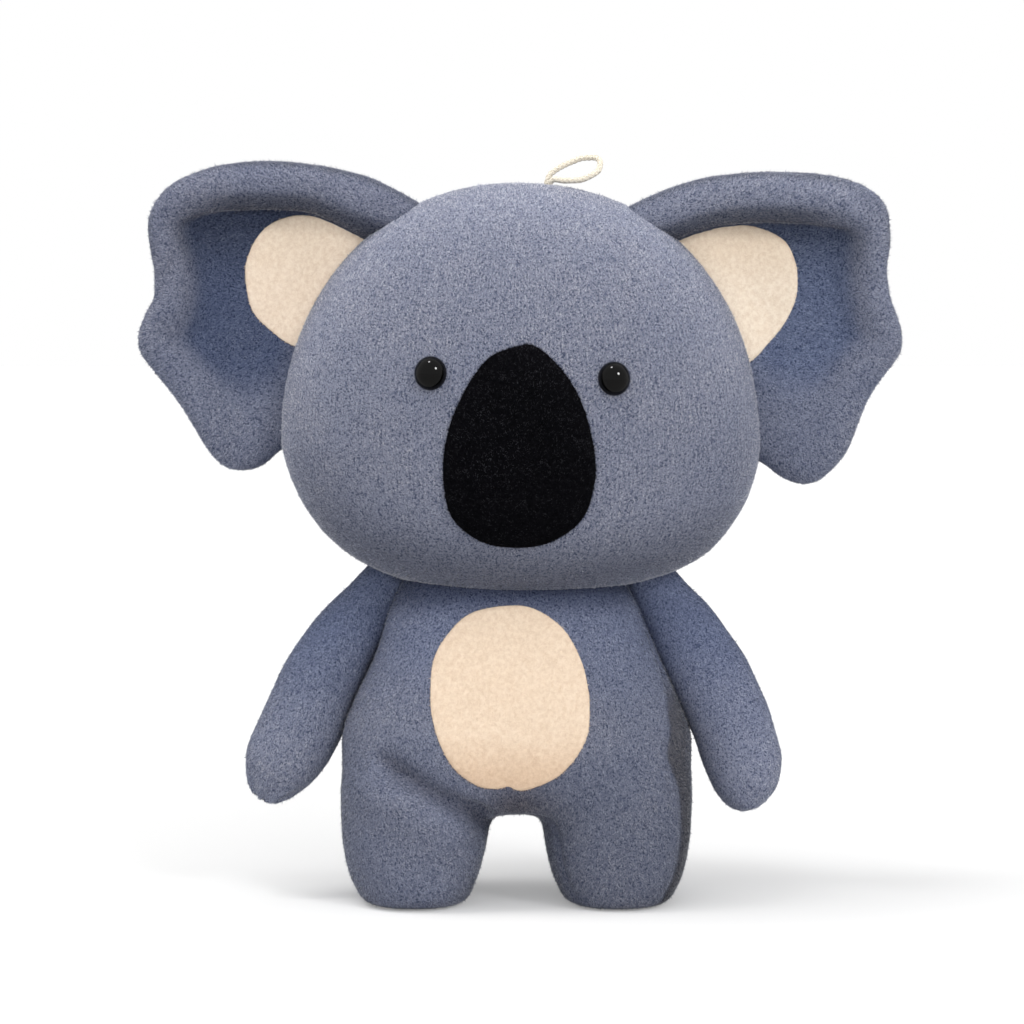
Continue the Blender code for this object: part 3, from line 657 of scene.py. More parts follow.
def comb_ear(side):
    """Outward from the head, and with the rim above and below."""
    def comb(root, normal):
        lay = np.tile((side * 1.0, 0.0, 0.0), (len(root), 1))
        lay[:, 2] = (root[:, 2] - 205 * MM) / (45 * MM)
        return lay

    return comb


COMB_DOWN, COMB_UP = comb_way(0.0, -0.15, -1.0), comb_way(0.0, 0.35, 1.0)


# --- head

HEAD_Y = 3.8 * MM
HEAD_FULL_Z, HEAD_TOP_Z, HEAD_UNDER_Z = 151.8 * MM, 239.3 * MM, 102.4 * MM
HEAD_HALF_WIDTH, HEAD_FRONT, HEAD_BACK = 80.25 * MM, 54 * MM, 52 * MM
HEAD_INSET = 0.4 * MM
CROWN_POWER, JOWL_POWER, SECTION_POWER = 2.12, 3.0, 2.25
# The jaw, in mm: height, half width and how far its middle lies to the toy's left
JAW = (
    (102.4, 8, 0.8), (103.2, 20, 0.9), (104.8, 32, 1.1), (107.5, 43, 1.5), (110.2, 50.5, 2), (113.5, 56.8, 2.3),
    (116.8, 61.5, 2.3), (120.2, 65, 2), (123.5, 68, 1.7), (128.5, 71.6, 1.5), (133.5, 74.6, 1.3), (140.2, 77.4, 0.9),
    (145.2, 79, 0.7), (151.8, 80.25, 0.3),
)


def make_head():
    columns, rows = ((300, 170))
    longitude = np.arange(columns) * 2 * np.pi / columns
    latitude = np.linspace(-np.pi / 2 + 0.01, np.pi / 2 - 0.01, rows)
    lat, lon = np.meshgrid(latitude, longitude, indexing="ij")
    up = lat > 0
    power = np.where(up, CROWN_POWER, JOWL_POWER)
    across, rise = np.cos(lat), np.abs(np.sin(lat))
    reach = (across**power + rise**power) ** (-1 / power)
    share = across * reach
    z = HEAD_FULL_Z + (np.where(up, HEAD_TOP_Z, HEAD_UNDER_Z) - HEAD_FULL_Z) * rise * reach
    cx, cy = np.cos(lon), np.sin(lon)
    section = (np.abs(cx) ** SECTION_POWER + np.abs(cy) ** SECTION_POWER) ** (-1 / SECTION_POWER) * share
    depth = np.where(cy > 0, HEAD_BACK, HEAD_FRONT)
    height, half, off = np.array(JAW).T
    wide = np.interp(z / MM, height, half) * MM
    shift = np.interp(z / MM, height, off) * MM * (1 - ease_mm(z, 150, 170))
    fit = np.where(z < HEAD_FULL_Z, wide / np.maximum(HEAD_HALF_WIDTH * share, 1e-6), 1.0)
    fit[0] = fit[1]
    grid = np.stack([HEAD_HALF_WIDTH * cx * section * fit + shift, HEAD_Y + depth * cy * section, z], -1)
    obj = tube("head_plush", grid.reshape(-1, 3), columns, BLUE_GROUND)
    inflate(obj, 6 * MM, 1.5 * MM, lambda p: np.abs(p[:, 1] - HEAD_Y) < 4 * MM)
    points = points_of(obj)
    seam = bell(points[:, 1] - HEAD_Y, 1.6 * MM) * 0.9 * MM
    push(obj, lumps(points, 60 * MM, 3) * 0.4 * MM - seam - HEAD_INSET)
    return stuffed(obj, "head", "head", 0.85)


head = make_head()
head_tree = skin_tree(head)

# --- body

BODY_X = -1.3
# Height, half width and half depth in mm, bottom to top
TORSO = (
    (30.5, 30, 24), (31.5, 42, 28), (35, 53.5, 32.5), (40.5, 58.3, 35), (53.3, 58.7, 35.5), (68.2, 54.4, 35),
    (83, 47.8, 33), (97.4, 42.5, 30.2), (106.5, 38.5, 26.5), (110.5, 35, 23), (111.5, 28, 18),
)
LEG = (
    (0.2, 15.2, 23.5), (0.6, 17, 26), (2.2, 18.8, 28.4), (5, 20.4, 30.2), (9.5, 22.2, 31.6), (16, 23.8, 32.6),
    (26, 25.2, 33.2), (38, 25.6, 33), (48, 22.5, 30), (58, 15, 22),
)
LEG_X, LEG_Y = 33.7, -1.2
HIP_FOLD = (
    (-48.3, 53), (-45, 50), (-37.6, 45.2), (-29.7, 40.2), (-22.3, 36), (-14.4, 31.6), (-10.5, 27.6),
)


def body_seam_y(points):
    """The side seam: it comes forward on the toy's left, lower down, as the stuffing pulls it."""
    forward = np.interp(points[:, 2], np.array((30, 52, 64, 76, 92)) * MM, np.array((-23.5, -23, -19.5, -13, -8)) * MM)
    return np.where(points[:, 0] > 0, forward, -3 * MM)


def make_body():
    forms = [loft("body_plush", [(z, BODY_X, 0, w, d, d) for z, w, d in TORSO], 2.6)]
    for side in (-1, 1):
        forms.append(loft("leg", [(z, BODY_X + side * LEG_X, LEG_Y, w, d, d) for z, w, d in LEG], 2.5, 72, 60))
    obj = voxel_skin(joined(forms), (1.35) * MM)
    relax(obj, 5)
    points = points_of(obj) / MM
    relax(obj, 60, bell(points[:, 0] - BODY_X, 14, points[:, 2] - 31, 9))  # the crotch
    relax(obj, 24, bell(points[:, 2] - 42, 12))  # the hips
    inflate(obj, 5 * MM, 2.2 * MM,
            lambda p: (np.abs(p[:, 1]) < 3 * MM) | (p[:, 2] > 100 * MM) | (p[:, 2] < 3 * MM))
    points, normals = points_of(obj), vertex_normals(obj)
    ahead = ease(-normals[:, 1], 0.05, 0.5)
    distance, side, along = line_distance(points[:, [0, 2]] / MM, HIP_FOLD)
    fade = ease(along, 0.0, 0.3) * (1 - 0.5 * ease(along, 0.85, 1.0))
    crease = bell(distance, 3.2) * 4.8 * fade
    below = np.where(side < 0, bell(distance - 9, 8) * 2.8, -1.0 * bell(distance, 8)) * fade
    seam = bell(points[:, 1] - body_seam_y(points), 1.4 * MM) * ease_mm(points[:, 2], 1, 6)
    on_floor = ease_mm(points[:, 2], 0.5, 5)
    push(obj, ((below - crease) * ahead - seam + lumps(points, 42 * MM, 8) * 0.45 - 0.4) * on_floor * MM)
    points = points_of(obj)
    points[:, 2] = np.maximum(points[:, 2], 0.25 * MM)
    set_points(obj, points)
    relax(obj, 2)
    return stuffed(obj, "torso", "body", 0.85)


body = make_body()
body_tree = skin_tree(body)

# --- arms

# Way down the arm from the shoulder's top, shift outward and half width in mm
ARM = {
    1: (
        (-4, -2.2, 3.5), (-3, -2, 6.5), (0, -1.5, 9.2), (8.7, 0.2, 10.2), (18, 1.6, 11.9), (28, 2.4, 13), (42, 2.9, 14),
        (56, 2.4, 14), (67, 0.9, 13.7), (74, -0.1, 13.2), (80, -1.2, 11.4), (84, -2, 8.8), (86.8, -2.6, 5),
        (87.8, -2.8, 1.6),
    ),
    -1: (
        (-4, -2.5, 3.5), (-3, -2.5, 6.5), (0, -2.3, 8.8), (8.7, -0.9, 9.5), (18, 0.3, 11.2), (28, 1.3, 12.3),
        (42, 1.6, 13.6), (56, 0.5, 14.2), (67, 0, 13.8), (74, 0.1, 12.7), (80, 0, 10.2), (84, -0.2, 7.6),
        (87, -0.3, 4.2), (88, -0.3, 1.4),
    ),
}
SHOULDER = (43.9, 109.5)
# Each arm's direction down from the shoulder, and how deep its gathered tip is puckered, in mm
ARM_DOWN = {-1: (0.477, -0.879), 1: (0.452, -0.892)}
GATHER = {-1: 1.3, 1: 0.5}


def make_arm(side, word):
    down_x, down_z = ARM_DOWN[side]

    def to_world(grid):
        x, y, s = grid.T
        px = SHOULDER[0] + s * down_x - x * down_z
        return np.stack([BODY_X + side * px, y, SHOULDER[1] + s * down_z + x * down_x], 1)

    obj = loft(f"arm_{word}_plush", [(s, c, 0, h, h * 0.92, h * 0.92) for s, c, h in ARM[side]], 2.1, 80, 90, to_world)
    voxel_skin(obj, (1.2) * MM)
    relax(obj, 3)
    inflate(obj, 4 * MM, 1.2 * MM, lambda p: np.abs(p[:, 1]) < 2 * MM)
    points = points_of(obj)
    flat = points[:, [0, 2]] - np.array([BODY_X + side * SHOULDER[0], SHOULDER[1]]) * MM
    down = flat @ np.array([side * down_x, down_z]) / MM
    out = flat @ np.array([-side * down_z, down_x]) / MM
    seam = bell(points[:, 1], 1.2 * MM) * ease(out, -4, 4) * 0.7
    around = np.arctan2(points[:, 1] / MM, out)
    gather = ease(down, 74, 84) * (np.cos(around * 7 + 0.6 * np.sin(2 * around)) * 0.5 + 0.5)
    push(obj, (lumps(points, 30 * MM, 20 + side) * 0.35 - seam - gather * GATHER[side] - 0.4) * MM)
    return stuffed(obj, f"arm_{word}", f"arm_{word}", 0.8)


arms = {word: make_arm(side, word) for side, word in SIDES}

# --- ears

EAR_Y = 4.5
# The ears differ, so each has its own outline, as seen from the front: along the top, down the rim, back to the
# head. A roll's rows are its middle line and its radius. All are in mm.
EAR_CENTRE = {"right": (-88, 202), "left": (88, 198)}
EAR_OUTLINE = {
    "right": (
        (-34.5, 232.1), (-43.1, 237.1), (-53.7, 241.4), (-64.6, 244.3), (-78.8, 246.3), (-93.4, 245.7), (-104, 243.7),
        (-115, 239.1), (-121.3, 232.5), (-123.7, 225.9), (-123.1, 217.3), (-121.8, 209.7), (-121.9, 201),
        (-124.2, 196.7), (-126.9, 190.1), (-127.3, 185.8), (-126, 181.5), (-121.7, 175.8), (-116.8, 169.8),
        (-111.8, 162.8), (-107.5, 155.5), (-103.3, 148.9), (-98.3, 144.2), (-92.3, 142.9), (-86, 144.5), (-80.9, 148.9),
        (-74, 155), (-69, 170), (-63.5, 188), (-52, 206), (-38, 220), (-30, 227),
    ),
    "left": (
        (36.4, 230.8), (55.3, 239.1), (77.4, 242.7), (96, 242.4), (106.9, 240.7), (115.9, 237.1), (121.2, 231.8),
        (122.9, 225.2), (123, 217.3), (122, 210.6), (123.1, 201.7), (125.5, 195.1), (127.2, 189.1), (126.9, 183.1),
        (124.3, 178.8), (119.3, 172.2), (115.7, 166.2), (112.1, 157.2), (109.2, 149.9), (104.5, 143.9), (98.6, 139.2),
        (92.9, 138.5), (86.9, 140.9), (82.2, 144.5), (75, 150), (70, 166), (63.5, 186), (52, 205), (38, 219), (31, 226),
    ),
}
EAR_ROLL = {
    "right": (
        (-34, 224.5, 7.5), (-43, 227.8, 9), (-52, 231.6, 9.6), (-60, 234.6, 8.9), (-69, 237, 8.2), (-84, 238, 8.4),
        (-98, 237.2, 7.9), (-108, 234.6, 7), (-115.5, 229.5, 6), (-118.8, 221, 4.6), (-119, 212, 3.2),
    ),
    "left": (
        (34, 222.5, 7), (44, 226.3, 8.2), (55, 230.3, 8.6), (66, 233, 8.6), (80, 234, 8.6), (94, 233.3, 8.4),
        (105, 231.5, 7.6), (113.5, 227.5, 6.5), (118.3, 220, 5), (119, 211, 3.4),
    ),
}
EAR_PATCH = {
    "right": (
        (-46, 214), (-52.7, 220.9), (-60.3, 225.5), (-71.9, 228.2), (-80.5, 226.5), (-86.2, 222.5), (-90, 216),
        (-91.5, 208.7), (-89.3, 196.7), (-82.7, 189.5), (-75.1, 184.8), (-66, 184), (-56, 198),
    ),
    "left": (
        (44, 212), (52.3, 219.9), (61.5, 223.9), (71.2, 225.2), (80.5, 223.6), (87.7, 219.9), (91, 214.5),
        (92.4, 208.3), (91.8, 200.1), (87.9, 191.8), (82, 184.8), (76.3, 179.5), (68, 177), (56, 196),
    ),
}


PAD_COLUMNS, PAD_ROWS = 220, 59
ROLL_COLUMNS, ROLL_ROWS = 40, 80


def ear_pad(side, word):
    """The flat of an ear: hollow at the front inside its rim, thick at its lobe."""
    ring = even_ring(EAR_OUTLINE[word], PAD_COLUMNS)
    centre = np.array(EAR_CENTRE[word], float)
    ring = ring - unit(ring - centre) * 0.15
    shares = 1 - np.linspace(0, 1, PAD_ROWS + 1)[:-1] ** 1.35
    flat = (centre + (ring - centre) * shares[:, None, None]).reshape(-1, 2)
    flat = np.vstack([flat, centre])
    out, height = side * flat[:, 0], flat[:, 1]
    distance, _, _ = line_distance(flat, ring, True)
    lobe = ease(-height, -176, -156)
    plump = 1 - np.clip(1 - distance / 6.0, 0, 1) ** 2.2
    half = (4.3 + 1.3 * lobe) * np.sqrt(np.maximum(plump, 0))
    cup = 3.6 * ease(out, 78, 106) * (1 - ease(distance, 3, 22))
    hollow = ease(distance, 6, 20) * ease(height, 160, 196) * ease(out, 56, 84)
    fold = lumps(np.column_stack([flat * MM, flat[:, 0] * 0]), 34 * MM, 31 + side) * 1.0 * ease(distance, 3, 12)
    middle = EAR_Y - cup + 0.4 * hollow
    front = middle - half + 4.4 * hollow - fold
    back = middle + half - 0.4 * fold
    front[:PAD_COLUMNS] = back[:PAD_COLUMNS] = middle[:PAD_COLUMNS]
    points = np.vstack([np.column_stack([flat[:, 0], y, height]) for y in (front, back)])
    count, last = len(flat), (PAD_ROWS - 1) * PAD_COLUMNS
    quads = grid_faces(PAD_ROWS, PAD_COLUMNS)
    pad = mesh_from("pad", points * MM, np.vstack([quads, quads[:, ::-1] + count]), BLUE_GROUND)
    tips = [fans(PAD_COLUMNS, (start + last, start + count - 1)) for start in (0, count)]
    return with_faces(pad, tips[0] + tips[1], weld=1e-6)


def ear_roll(word):
    """The rim that is rolled forward over the top of an ear."""
    line = np.array(EAR_ROLL[word], float)
    run = travelled(line[:, :2])
    wanted = np.linspace(0, run[-1], ROLL_ROWS)
    x, z, half = (spline(run, line[:, k], wanted) for k in range(3))
    half = (half - 0.3) * np.sqrt(np.clip((run[-1] - wanted) / 6 + 0.02, 0, 1))
    ahead = unit(np.stack([np.gradient(x), np.gradient(z)], 1))
    up = np.stack([-ahead[:, 1], ahead[:, 0]], 1)
    angle = np.arange(ROLL_COLUMNS) * 2 * np.pi / ROLL_COLUMNS
    centre_y = EAR_Y - 5.4 + 3.4 * ease(wanted, run[-1] - 55, run[-1] - 5)
    grid = np.stack([
        x[:, None] + up[:, 0:1] * half[:, None] * np.cos(angle),
        centre_y[:, None] + half[:, None] * 0.92 * np.sin(angle),
        z[:, None] + up[:, 1:2] * half[:, None] * np.cos(angle),
    ], -1).reshape(-1, 3)
    return tube("roll", grid * MM, ROLL_COLUMNS, BLUE_GROUND)


def make_ear(side, word):
    pad, roll = ear_pad(side, word), ear_roll(word)
    pad.name = f"ear_{word}_plush"
    pad_tree = skin_tree(pad)
    obj = voxel_skin(joined([pad, roll]), (1.1) * MM)
    relax(obj, 6)
    return stuffed(obj, f"ear_{word}", f"ear_{word}", 0.5, "wadding"), pad_tree


ears, pad_trees = {}, {}
for side, word in SIDES:
    ears[word], pad_trees[word] = make_ear(side, word)

# --- patches, nose, eyes, loop

BELLY = (
    (-3.3, 100.8), (-15.3, 98.6), (-22.5, 92.7), (-28, 83.3), (-29, 70.5), (-28, 62.7), (-25.4, 54.9), (-20.9, 47.7),
    (-13.8, 42.7), (-7, 41.6), (-4, 42), (-1.1, 41.1), (3.5, 41.8), (11.6, 45.4), (17.8, 51.6), (21.7, 59.4),
    (22.3, 68.9), (21.6, 75.4), (19.3, 83.9), (13.8, 93.4), (5.1, 99.5),
)
NOSE = (
    (0.8, 186.1), (-8.7, 182.9), (-15.1, 175.9), (-20.5, 165.8), (-23, 158.4), (-24.6, 148.9), (-24, 138.4),
    (-22.1, 131.7), (-17.3, 126.3), (-9.7, 122.4), (0.8, 121.5), (9.1, 123.1), (17, 127.8), (21.2, 133.3),
    (23.1, 139.7), (24, 146.3), (23, 155.3), (20.2, 165.8), (16.4, 173.7), (11.6, 180), (7.1, 184.2), (3.3, 186.1),
)
EYES = {"right": (-28.7, 177.1), "left": (29.9, 175.4)}


PATCH_COLUMNS, PATCH_ROWS, TUCKED_ROWS = 160, 36, 12
TUCK = 0.9  # how deep a patch's back lies in the skin, in mm


def patch(name, outline, centre, tree, rise, material):
    """A piece sewn on a skin: a tucked back and a front raised by rise(share) in mm, both of rings that follow it."""
    ring = even_ring(outline, PATCH_COLUMNS)
    centre = np.array(centre, float)
    levels = [(share, -TUCK) for share in np.linspace(0.1, 1.0, TUCKED_ROWS)]
    levels += [(share, rise(share)) for share in 1 - np.linspace(0, 1, PATCH_ROWS)[:-1] ** 1.6]
    points = []
    last = (np.array([centre[0], 0.0, centre[1]]) * MM, np.array([0, -1.0, 0]))
    for share, lift in levels:
        for x, z in (centre + (ring - centre) * share) * MM:
            last = front_of(tree, x, z, (np.array([x, last[0][1], z]), last[1]))
            points.append(last[0] + last[1] * lift * MM)
    place, normal = front_of(tree, *(centre * MM))
    count = len(points)
    points += [place + normal * rise(0.0) * MM, place - normal * TUCK * MM]
    obj = mesh_from(name, np.array(points), grid_faces(len(levels), PATCH_COLUMNS), material)
    tips = fans(PATCH_COLUMNS, (count - PATCH_COLUMNS, count), (0, count + 1))
    return with_faces(obj, tips, smooth=True)


def flat_rise(share):
    return 0.25 + 0.75 * (1 - share**14) ** 0.5


def nose_rise(share):
    return 0.6 + 4.2 * (1 - share**3.2) ** 0.62


belly = patch("belly_patch_felt", BELLY, (-3.4, 70.5), body_tree, flat_rise, CREAM_GROUND)
across, _, up = points_of(belly).T / MM
dimple = bell(across + 4.0, 3.0, up - 42.5, 5.0) * 0.6
mound = bell(np.hypot(across + 3.4, up - 70), 24) * 0.6
push(belly, (mound - dimple) * MM)
dressed(belly, "torso", "plush_cream", "belly_patch")

nose = patch("nose_plush", NOSE, (0.0, 151.0), head_tree, nose_rise, BLACK_GROUND)
dressed(nose, "head", "plush_black", "nose_cover", "nose_wadding", fill=0.6)

inner_ears = {}
for side, word in SIDES:
    made = patch(f"inner_ear_{word}_felt", EAR_PATCH[word], (side * 70, 205), pad_trees[word], flat_rise,
                 CREAM_GROUND)
    inner_ears[word] = dressed(made, f"ear_{word}", "plush_cream", f"inner_ear_{word}")

EYE_RADIUS = 5.25 * MM
EYE_DOME, EYE_EDGE = 0.9, 1.75  # the dome's height as a share of its radius, and the angle down to its edge
EYE_COLUMNS, EYE_ROWS = 48, 28
eye_places = {}
for word, (x, z) in EYES.items():
    place, normal = front_of(head_tree, x * MM, z * MM)
    turn = Vector(normal).to_track_quat("Z", "Y").to_matrix()
    down = np.linspace(0.06, EYE_EDGE, EYE_ROWS)[:, None]
    spin = (np.arange(EYE_COLUMNS) * 2 * np.pi / EYE_COLUMNS)[None]
    grid = np.stack([np.sin(down) * np.cos(spin), np.sin(down) * np.sin(spin), EYE_DOME * np.cos(down) + 0 * spin], -1)
    grid = grid.reshape(-1, 3) * EYE_RADIUS
    tips = np.array([[0, 0, EYE_DOME * EYE_RADIUS], [0, 0, EYE_DOME * math.cos(EYE_EDGE) * EYE_RADIUS]])
    local = np.vstack([grid, tips]) * (1, 1.05, 1)
    world_points = local @ np.array(turn).T + place + normal * 0.3 * MM
    eye = mesh_from(f"eye_{word}_bead", world_points, grid_faces(EYE_ROWS, EYE_COLUMNS), EYE_GLOSS)
    count = len(grid)
    with_faces(eye, fans(EYE_COLUMNS, (0, count), (count - EYE_COLUMNS, count + 1)), smooth=True)
    dressed(eye, "head", "eye_black", f"eye_{word}")
    eye_places[word] = place

LOOP = (
    (8.6, 4.5, 237.6), (9, 4.8, 239.3), (9.8, 5.2, 241.4), (13, 6, 243.9), (17.2, 6.8, 245.9), (21.2, 7, 247.2),
    (24.8, 5.6, 247.3), (26.6, 3, 245.7), (26.2, 0.2, 243.3), (23.4, -1.4, 241.1), (19.2, -1.2, 239.6),
    (14.8, 0, 239.5), (11.2, 1, 240), (9.4, 1.6, 238.4),
)


CORD_COLUMNS, CORD_ROWS = 30, 220
CORD_DIAMETER, BRAID_TURN = 2.0, 1.9


def make_loop():
    """The hanging loop: a braided cord along the route."""
    given = np.array(LOOP)
    run = travelled(given)
    wanted = np.linspace(0, run[-1], CORD_ROWS)
    line = np.stack([spline(run, given[:, k], wanted) for k in range(3)], 1)
    for _ in range(12):
        line[1:-1] = (line[:-2] + 2 * line[1:-1] + line[2:]) / 4
    ahead = unit(np.gradient(line, axis=0))
    angle = np.arange(CORD_COLUMNS) * 2 * np.pi / CORD_COLUMNS
    first = np.cross(ahead[0], (0, 1, 0))
    run = travelled(line)
    grid = []
    for place, way, direction in zip(line, run, ahead):
        first = unit(first - (first @ direction) * direction)
        second = np.cross(direction, first)
        left = np.abs(np.cos(1.5 * angle - way * BRAID_TURN))
        right = np.abs(np.cos(1.5 * angle + way * BRAID_TURN))
        radius = 0.8 + 0.2 * np.maximum(left, right) ** 3
        grid.append(place + (np.cos(angle) * radius)[:, None] * first + (np.sin(angle) * radius)[:, None] * second)
    obj = tube("loop_cord", np.array(grid).reshape(-1, 3) * MM, CORD_COLUMNS, LOOP_CORD)
    dressed(obj, "head", "cord_cream", "hanging_loop")


make_loop()
for _, word in SIDES:
    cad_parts[f"eye_washer_{word}"].material_slots[0].material = WASHER_PLASTIC

# --- pile on every skin


EYE_CLEARANCE = 4.8 * MM


def clear_of(outline):
    """Keeps the roots at the front that lie outside this outline, and all the others."""
    ring = even_ring(outline, 120)
    return lambda root, normal: ~(inside(root[:, [0, 2]] / MM, ring) & (normal[:, 1] < 0.1))


def head_keep(root, normal):
    kept = clear_of(NOSE)(root, normal)
    for place in eye_places.values():
        kept &= np.linalg.norm(root - place, axis=1) > EYE_CLEARANCE
    return kept


def front_half(rule, sign):
    return lambda root, normal: rule(root, normal) & ((root[:, 1] - HEAD_Y) * sign >= 0)


def ribs(axis_x, axis_y, number):
    """Knitted ribs that run up and down round an upright axis."""
    return lambda root, normal: np.arctan2(root[:, 1] - axis_y, root[:, 0] - axis_x) * number


def comb_body(root, normal):
    lay = np.tile((0.0, -0.1, -1.0), (len(root), 1))
    lay[:, 0] = 0.75 * ease_mm(-root[:, 0], 0, 40) * ease_mm(-root[:, 2], -80, -40)
    return lay


def blend(low, high, share):
    return np.array(low) + (np.array(high) - np.array(low)) * share[:, None]


def head_tint_and_painted_light(root, normal):
    """The head's nap is greyer than the body's, with a painted sheen that makes it paler round its edge, in a band that
    is broad above and narrow below, and painted shade on its underside.
    """
    edge = 1 - np.abs(normal[:, 1])
    high = ease_mm(root[:, 2], 140, 190)
    # painted sheen: paler where the head turns away from the front, in a broad band above and a narrow one below
    rim = high * ease(edge, 0, 0.55) + (1 - high) * ease(edge, 0.35, 0.9)
    # painted shade where the head faces down
    under = ease(-normal[:, 2], 0.15, 0.75)
    return blend((1.21, 1.18, 1.12), (1.74, 1.67, 1.53), 0.95 * rim) * (1 - 0.28 * under[:, None])


def head_stitch_painted_shade(root, normal):
    # how dark the painted shade in the knit's pits is on the head, most at the front on the toy's left
    return 0.25 + 0.45 * ease_mm(root[:, 0], -45, 0) * ease(-normal[:, 1], 0.2, 0.7)


def body_stitch_painted_shade(root, normal):
    # the same on the body, most at the front on the toy's left
    return 0.1 + 0.4 * ease_mm(root[:, 0], 10, 30) * ease(-normal[:, 1], 0.0, 0.5)


def body_seam_tone_and_painted_shade(root, normal):
    # a dark seam line, with painted shade that deepens it on the toy's left, where that side lies in shade
    seam = bell(root[:, 1] - body_seam_y(root), 1.5 * MM)
    return -0.3 * seam * (root[:, 0] > 0) - 0.15 * seam


def body_tint_and_painted_shade(root, normal):
    """Darker low down; painted shade makes it bluer towards the top, under the arms and head, and dark under the chin,
    between the legs, in the hip's fold, low on the toy's left and behind the seam there, while painted light brightens
    the toy's right side.
    """
    x, z = root[:, 0], root[:, 2]
    # painted shadow: a dark strip just behind the seam on the toy's left, where that side lies in shade
    way = root[:, 1] - body_seam_y(root)
    behind = ease_mm(way, 0, 1.5) * (1 - 0.7 * ease_mm(way, 5, 19)) * ease_mm(x, 30, 45)
    behind *= ease(-normal[:, 2], -0.9, -0.3) * (1 - ease_mm(way, 19, 32))
    behind *= 1 - ease_mm(z, 64, 82)
    tint = blend((0.93, 0.93, 0.92), (1.05, 1.04, 1.01), ease_mm(z, 40, 62))
    # painted shade: bluer up towards the arms and head
    tint *= blend(WHITE, (0.93, 0.98, 1.08), ease_mm(z, 60, 95))
    # painted light on the toy's right side, and painted shade low on its left
    left = ease_mm(x, -4, 12)
    low = 1 - ease_mm(z, 30, 60)
    tint *= (1 + 0.1 * (1 - left) - 0.12 * low * left)[:, None]
    # painted shade between the legs
    crotch = bell(x + 1.3 * MM, 11 * MM, z - 35 * MM, 9 * MM)
    tint *= blend(WHITE, (0.53, 0.47, 0.43), crotch)
    # painted shade in the hip's fold
    away, _, along = line_distance(root[:, [0, 2]] / MM, HIP_FOLD)
    fold = bell(away, 2.4) * ease(along, 0.0, 0.25) * ease(-normal[:, 1], 0.0, 0.4)
    tint *= blend(WHITE, (0.68, 0.66, 0.66), fold)
    # painted shade under the chin
    tint *= blend(WHITE, (0.45, 0.47, 0.53), ease_mm(z, 95, 105))
    return tint * blend(WHITE, (0.52, 0.48, 0.42), behind)


def tint_over(low, high, bottom, top):
    """A tint that changes between two heights in mm."""
    return lambda root, normal: blend(low, high, ease_mm(root[:, 2], bottom, top))


# painted shade: the belly patch is darker towards its bottom
BELLY_LOW_PAINTED_SHADE = tint_over((0.89, 0.82, 0.77), (1.02, 1.015, 1.02), 44, 62)
# painted shade: each arm is darker and bluer up towards its shoulder, under the head
ARM_PAINTED_SHADE = {1: tint_over((1.42, 1.4, 1.36), (0.82, 0.89, 1.02), 40, 98),
            -1: tint_over((1.36, 1.34, 1.28), (0.76, 0.83, 0.95), 40, 98)}
# painted shade: each inner ear patch is darker towards its top, under the rolled rim
PATCH_TOP_PAINTED_SHADE = {1: tint_over((1.07, 1.13, 1.2), (1.00, 1.02, 1.04), 200, 220),
              -1: tint_over((1.07, 1.1, 1.15), (1.05, 1.08, 1.12), 200, 220)}
# painted shade in each ear's hollow, and painted light on its upper rim
EAR_HOLLOW_PAINTED_SHADE = {1: (0.74, 0.83, 0.97), -1: (0.5, 0.57, 0.7)}
EAR_RIM_PAINTED_LIGHT = {1: (1.24, 1.22, 1.17), -1: (1.1, 1.08, 1.05)}


def ear_painted_light_and_shade(side, word):
    """Painted shade makes the hollow of each ear darker and bluer than its rolled rim, and dark right under that rim,
    where the rim's shadow falls; painted light makes the upper ear and its rim paler.
    """
    line = np.array(EAR_ROLL[word], float)
    reached = travelled(line[:, :2])
    reached /= reached[-1]

    def tint(root, normal):
        x, y, z = root.T
        # painted shade in the hollow
        hollow = ease_mm(y, -1.5, 3.5) * ease(-normal[:, 1], 0.2, 0.7)
        # painted shadow right under the rolled rim
        under = ease_mm(y, -4, 1) * ease(-normal[:, 1], -0.3, 0.3)
        under *= bell(z - 222 * MM, 12 * MM)
        # painted shadow along the roll's lower edge and where the skin faces down below it, fading towards the ear's
        # outer edge
        away, _, along = line_distance(root[:, [0, 2]] / MM, line[:, :2])
        crease = bell(away - np.interp(along, reached, line[:, 2]), 1.8) * ease(-normal[:, 1], 0.1, 0.5)
        roll_painted_shadow = np.maximum(ease(-normal[:, 2], 0.05, 0.6) * ease_mm(z, 196, 212), crease)
        roll_painted_shadow *= 1 - 0.75 * ease_mm(side * x, 90, 112)
        under = np.maximum(under, 1.35 * roll_painted_shadow)
        # painted light: paler towards the top, over the rolled rim
        shade = blend(EAR_RIM_PAINTED_LIGHT[side], (1.04, 1.04, 1.03), 1 - ease_mm(z, 165, 215))
        shade = shade + (np.array(EAR_HOLLOW_PAINTED_SHADE[side]) - shade) * hollow[:, None]
        return shade * (1 - 0.38 * under[:, None])

    return tint


# The ground between the fibres takes their tint, with its painted light and shade
for skin, tint in (
    (head, head_tint_and_painted_light), (body, body_tint_and_painted_shade), (belly, BELLY_LOW_PAINTED_SHADE), (nose, None),
    *((arms[word], ARM_PAINTED_SHADE[side]) for side, word in SIDES),
    *((ears[word], ear_painted_light_and_shade(side, word)) for side, word in SIDES),
    *((inner_ears[word], PATCH_TOP_PAINTED_SHADE[side]) for side, word in SIDES),
):
    set_tint(skin, points_of(skin), vertex_normals(skin), tint)

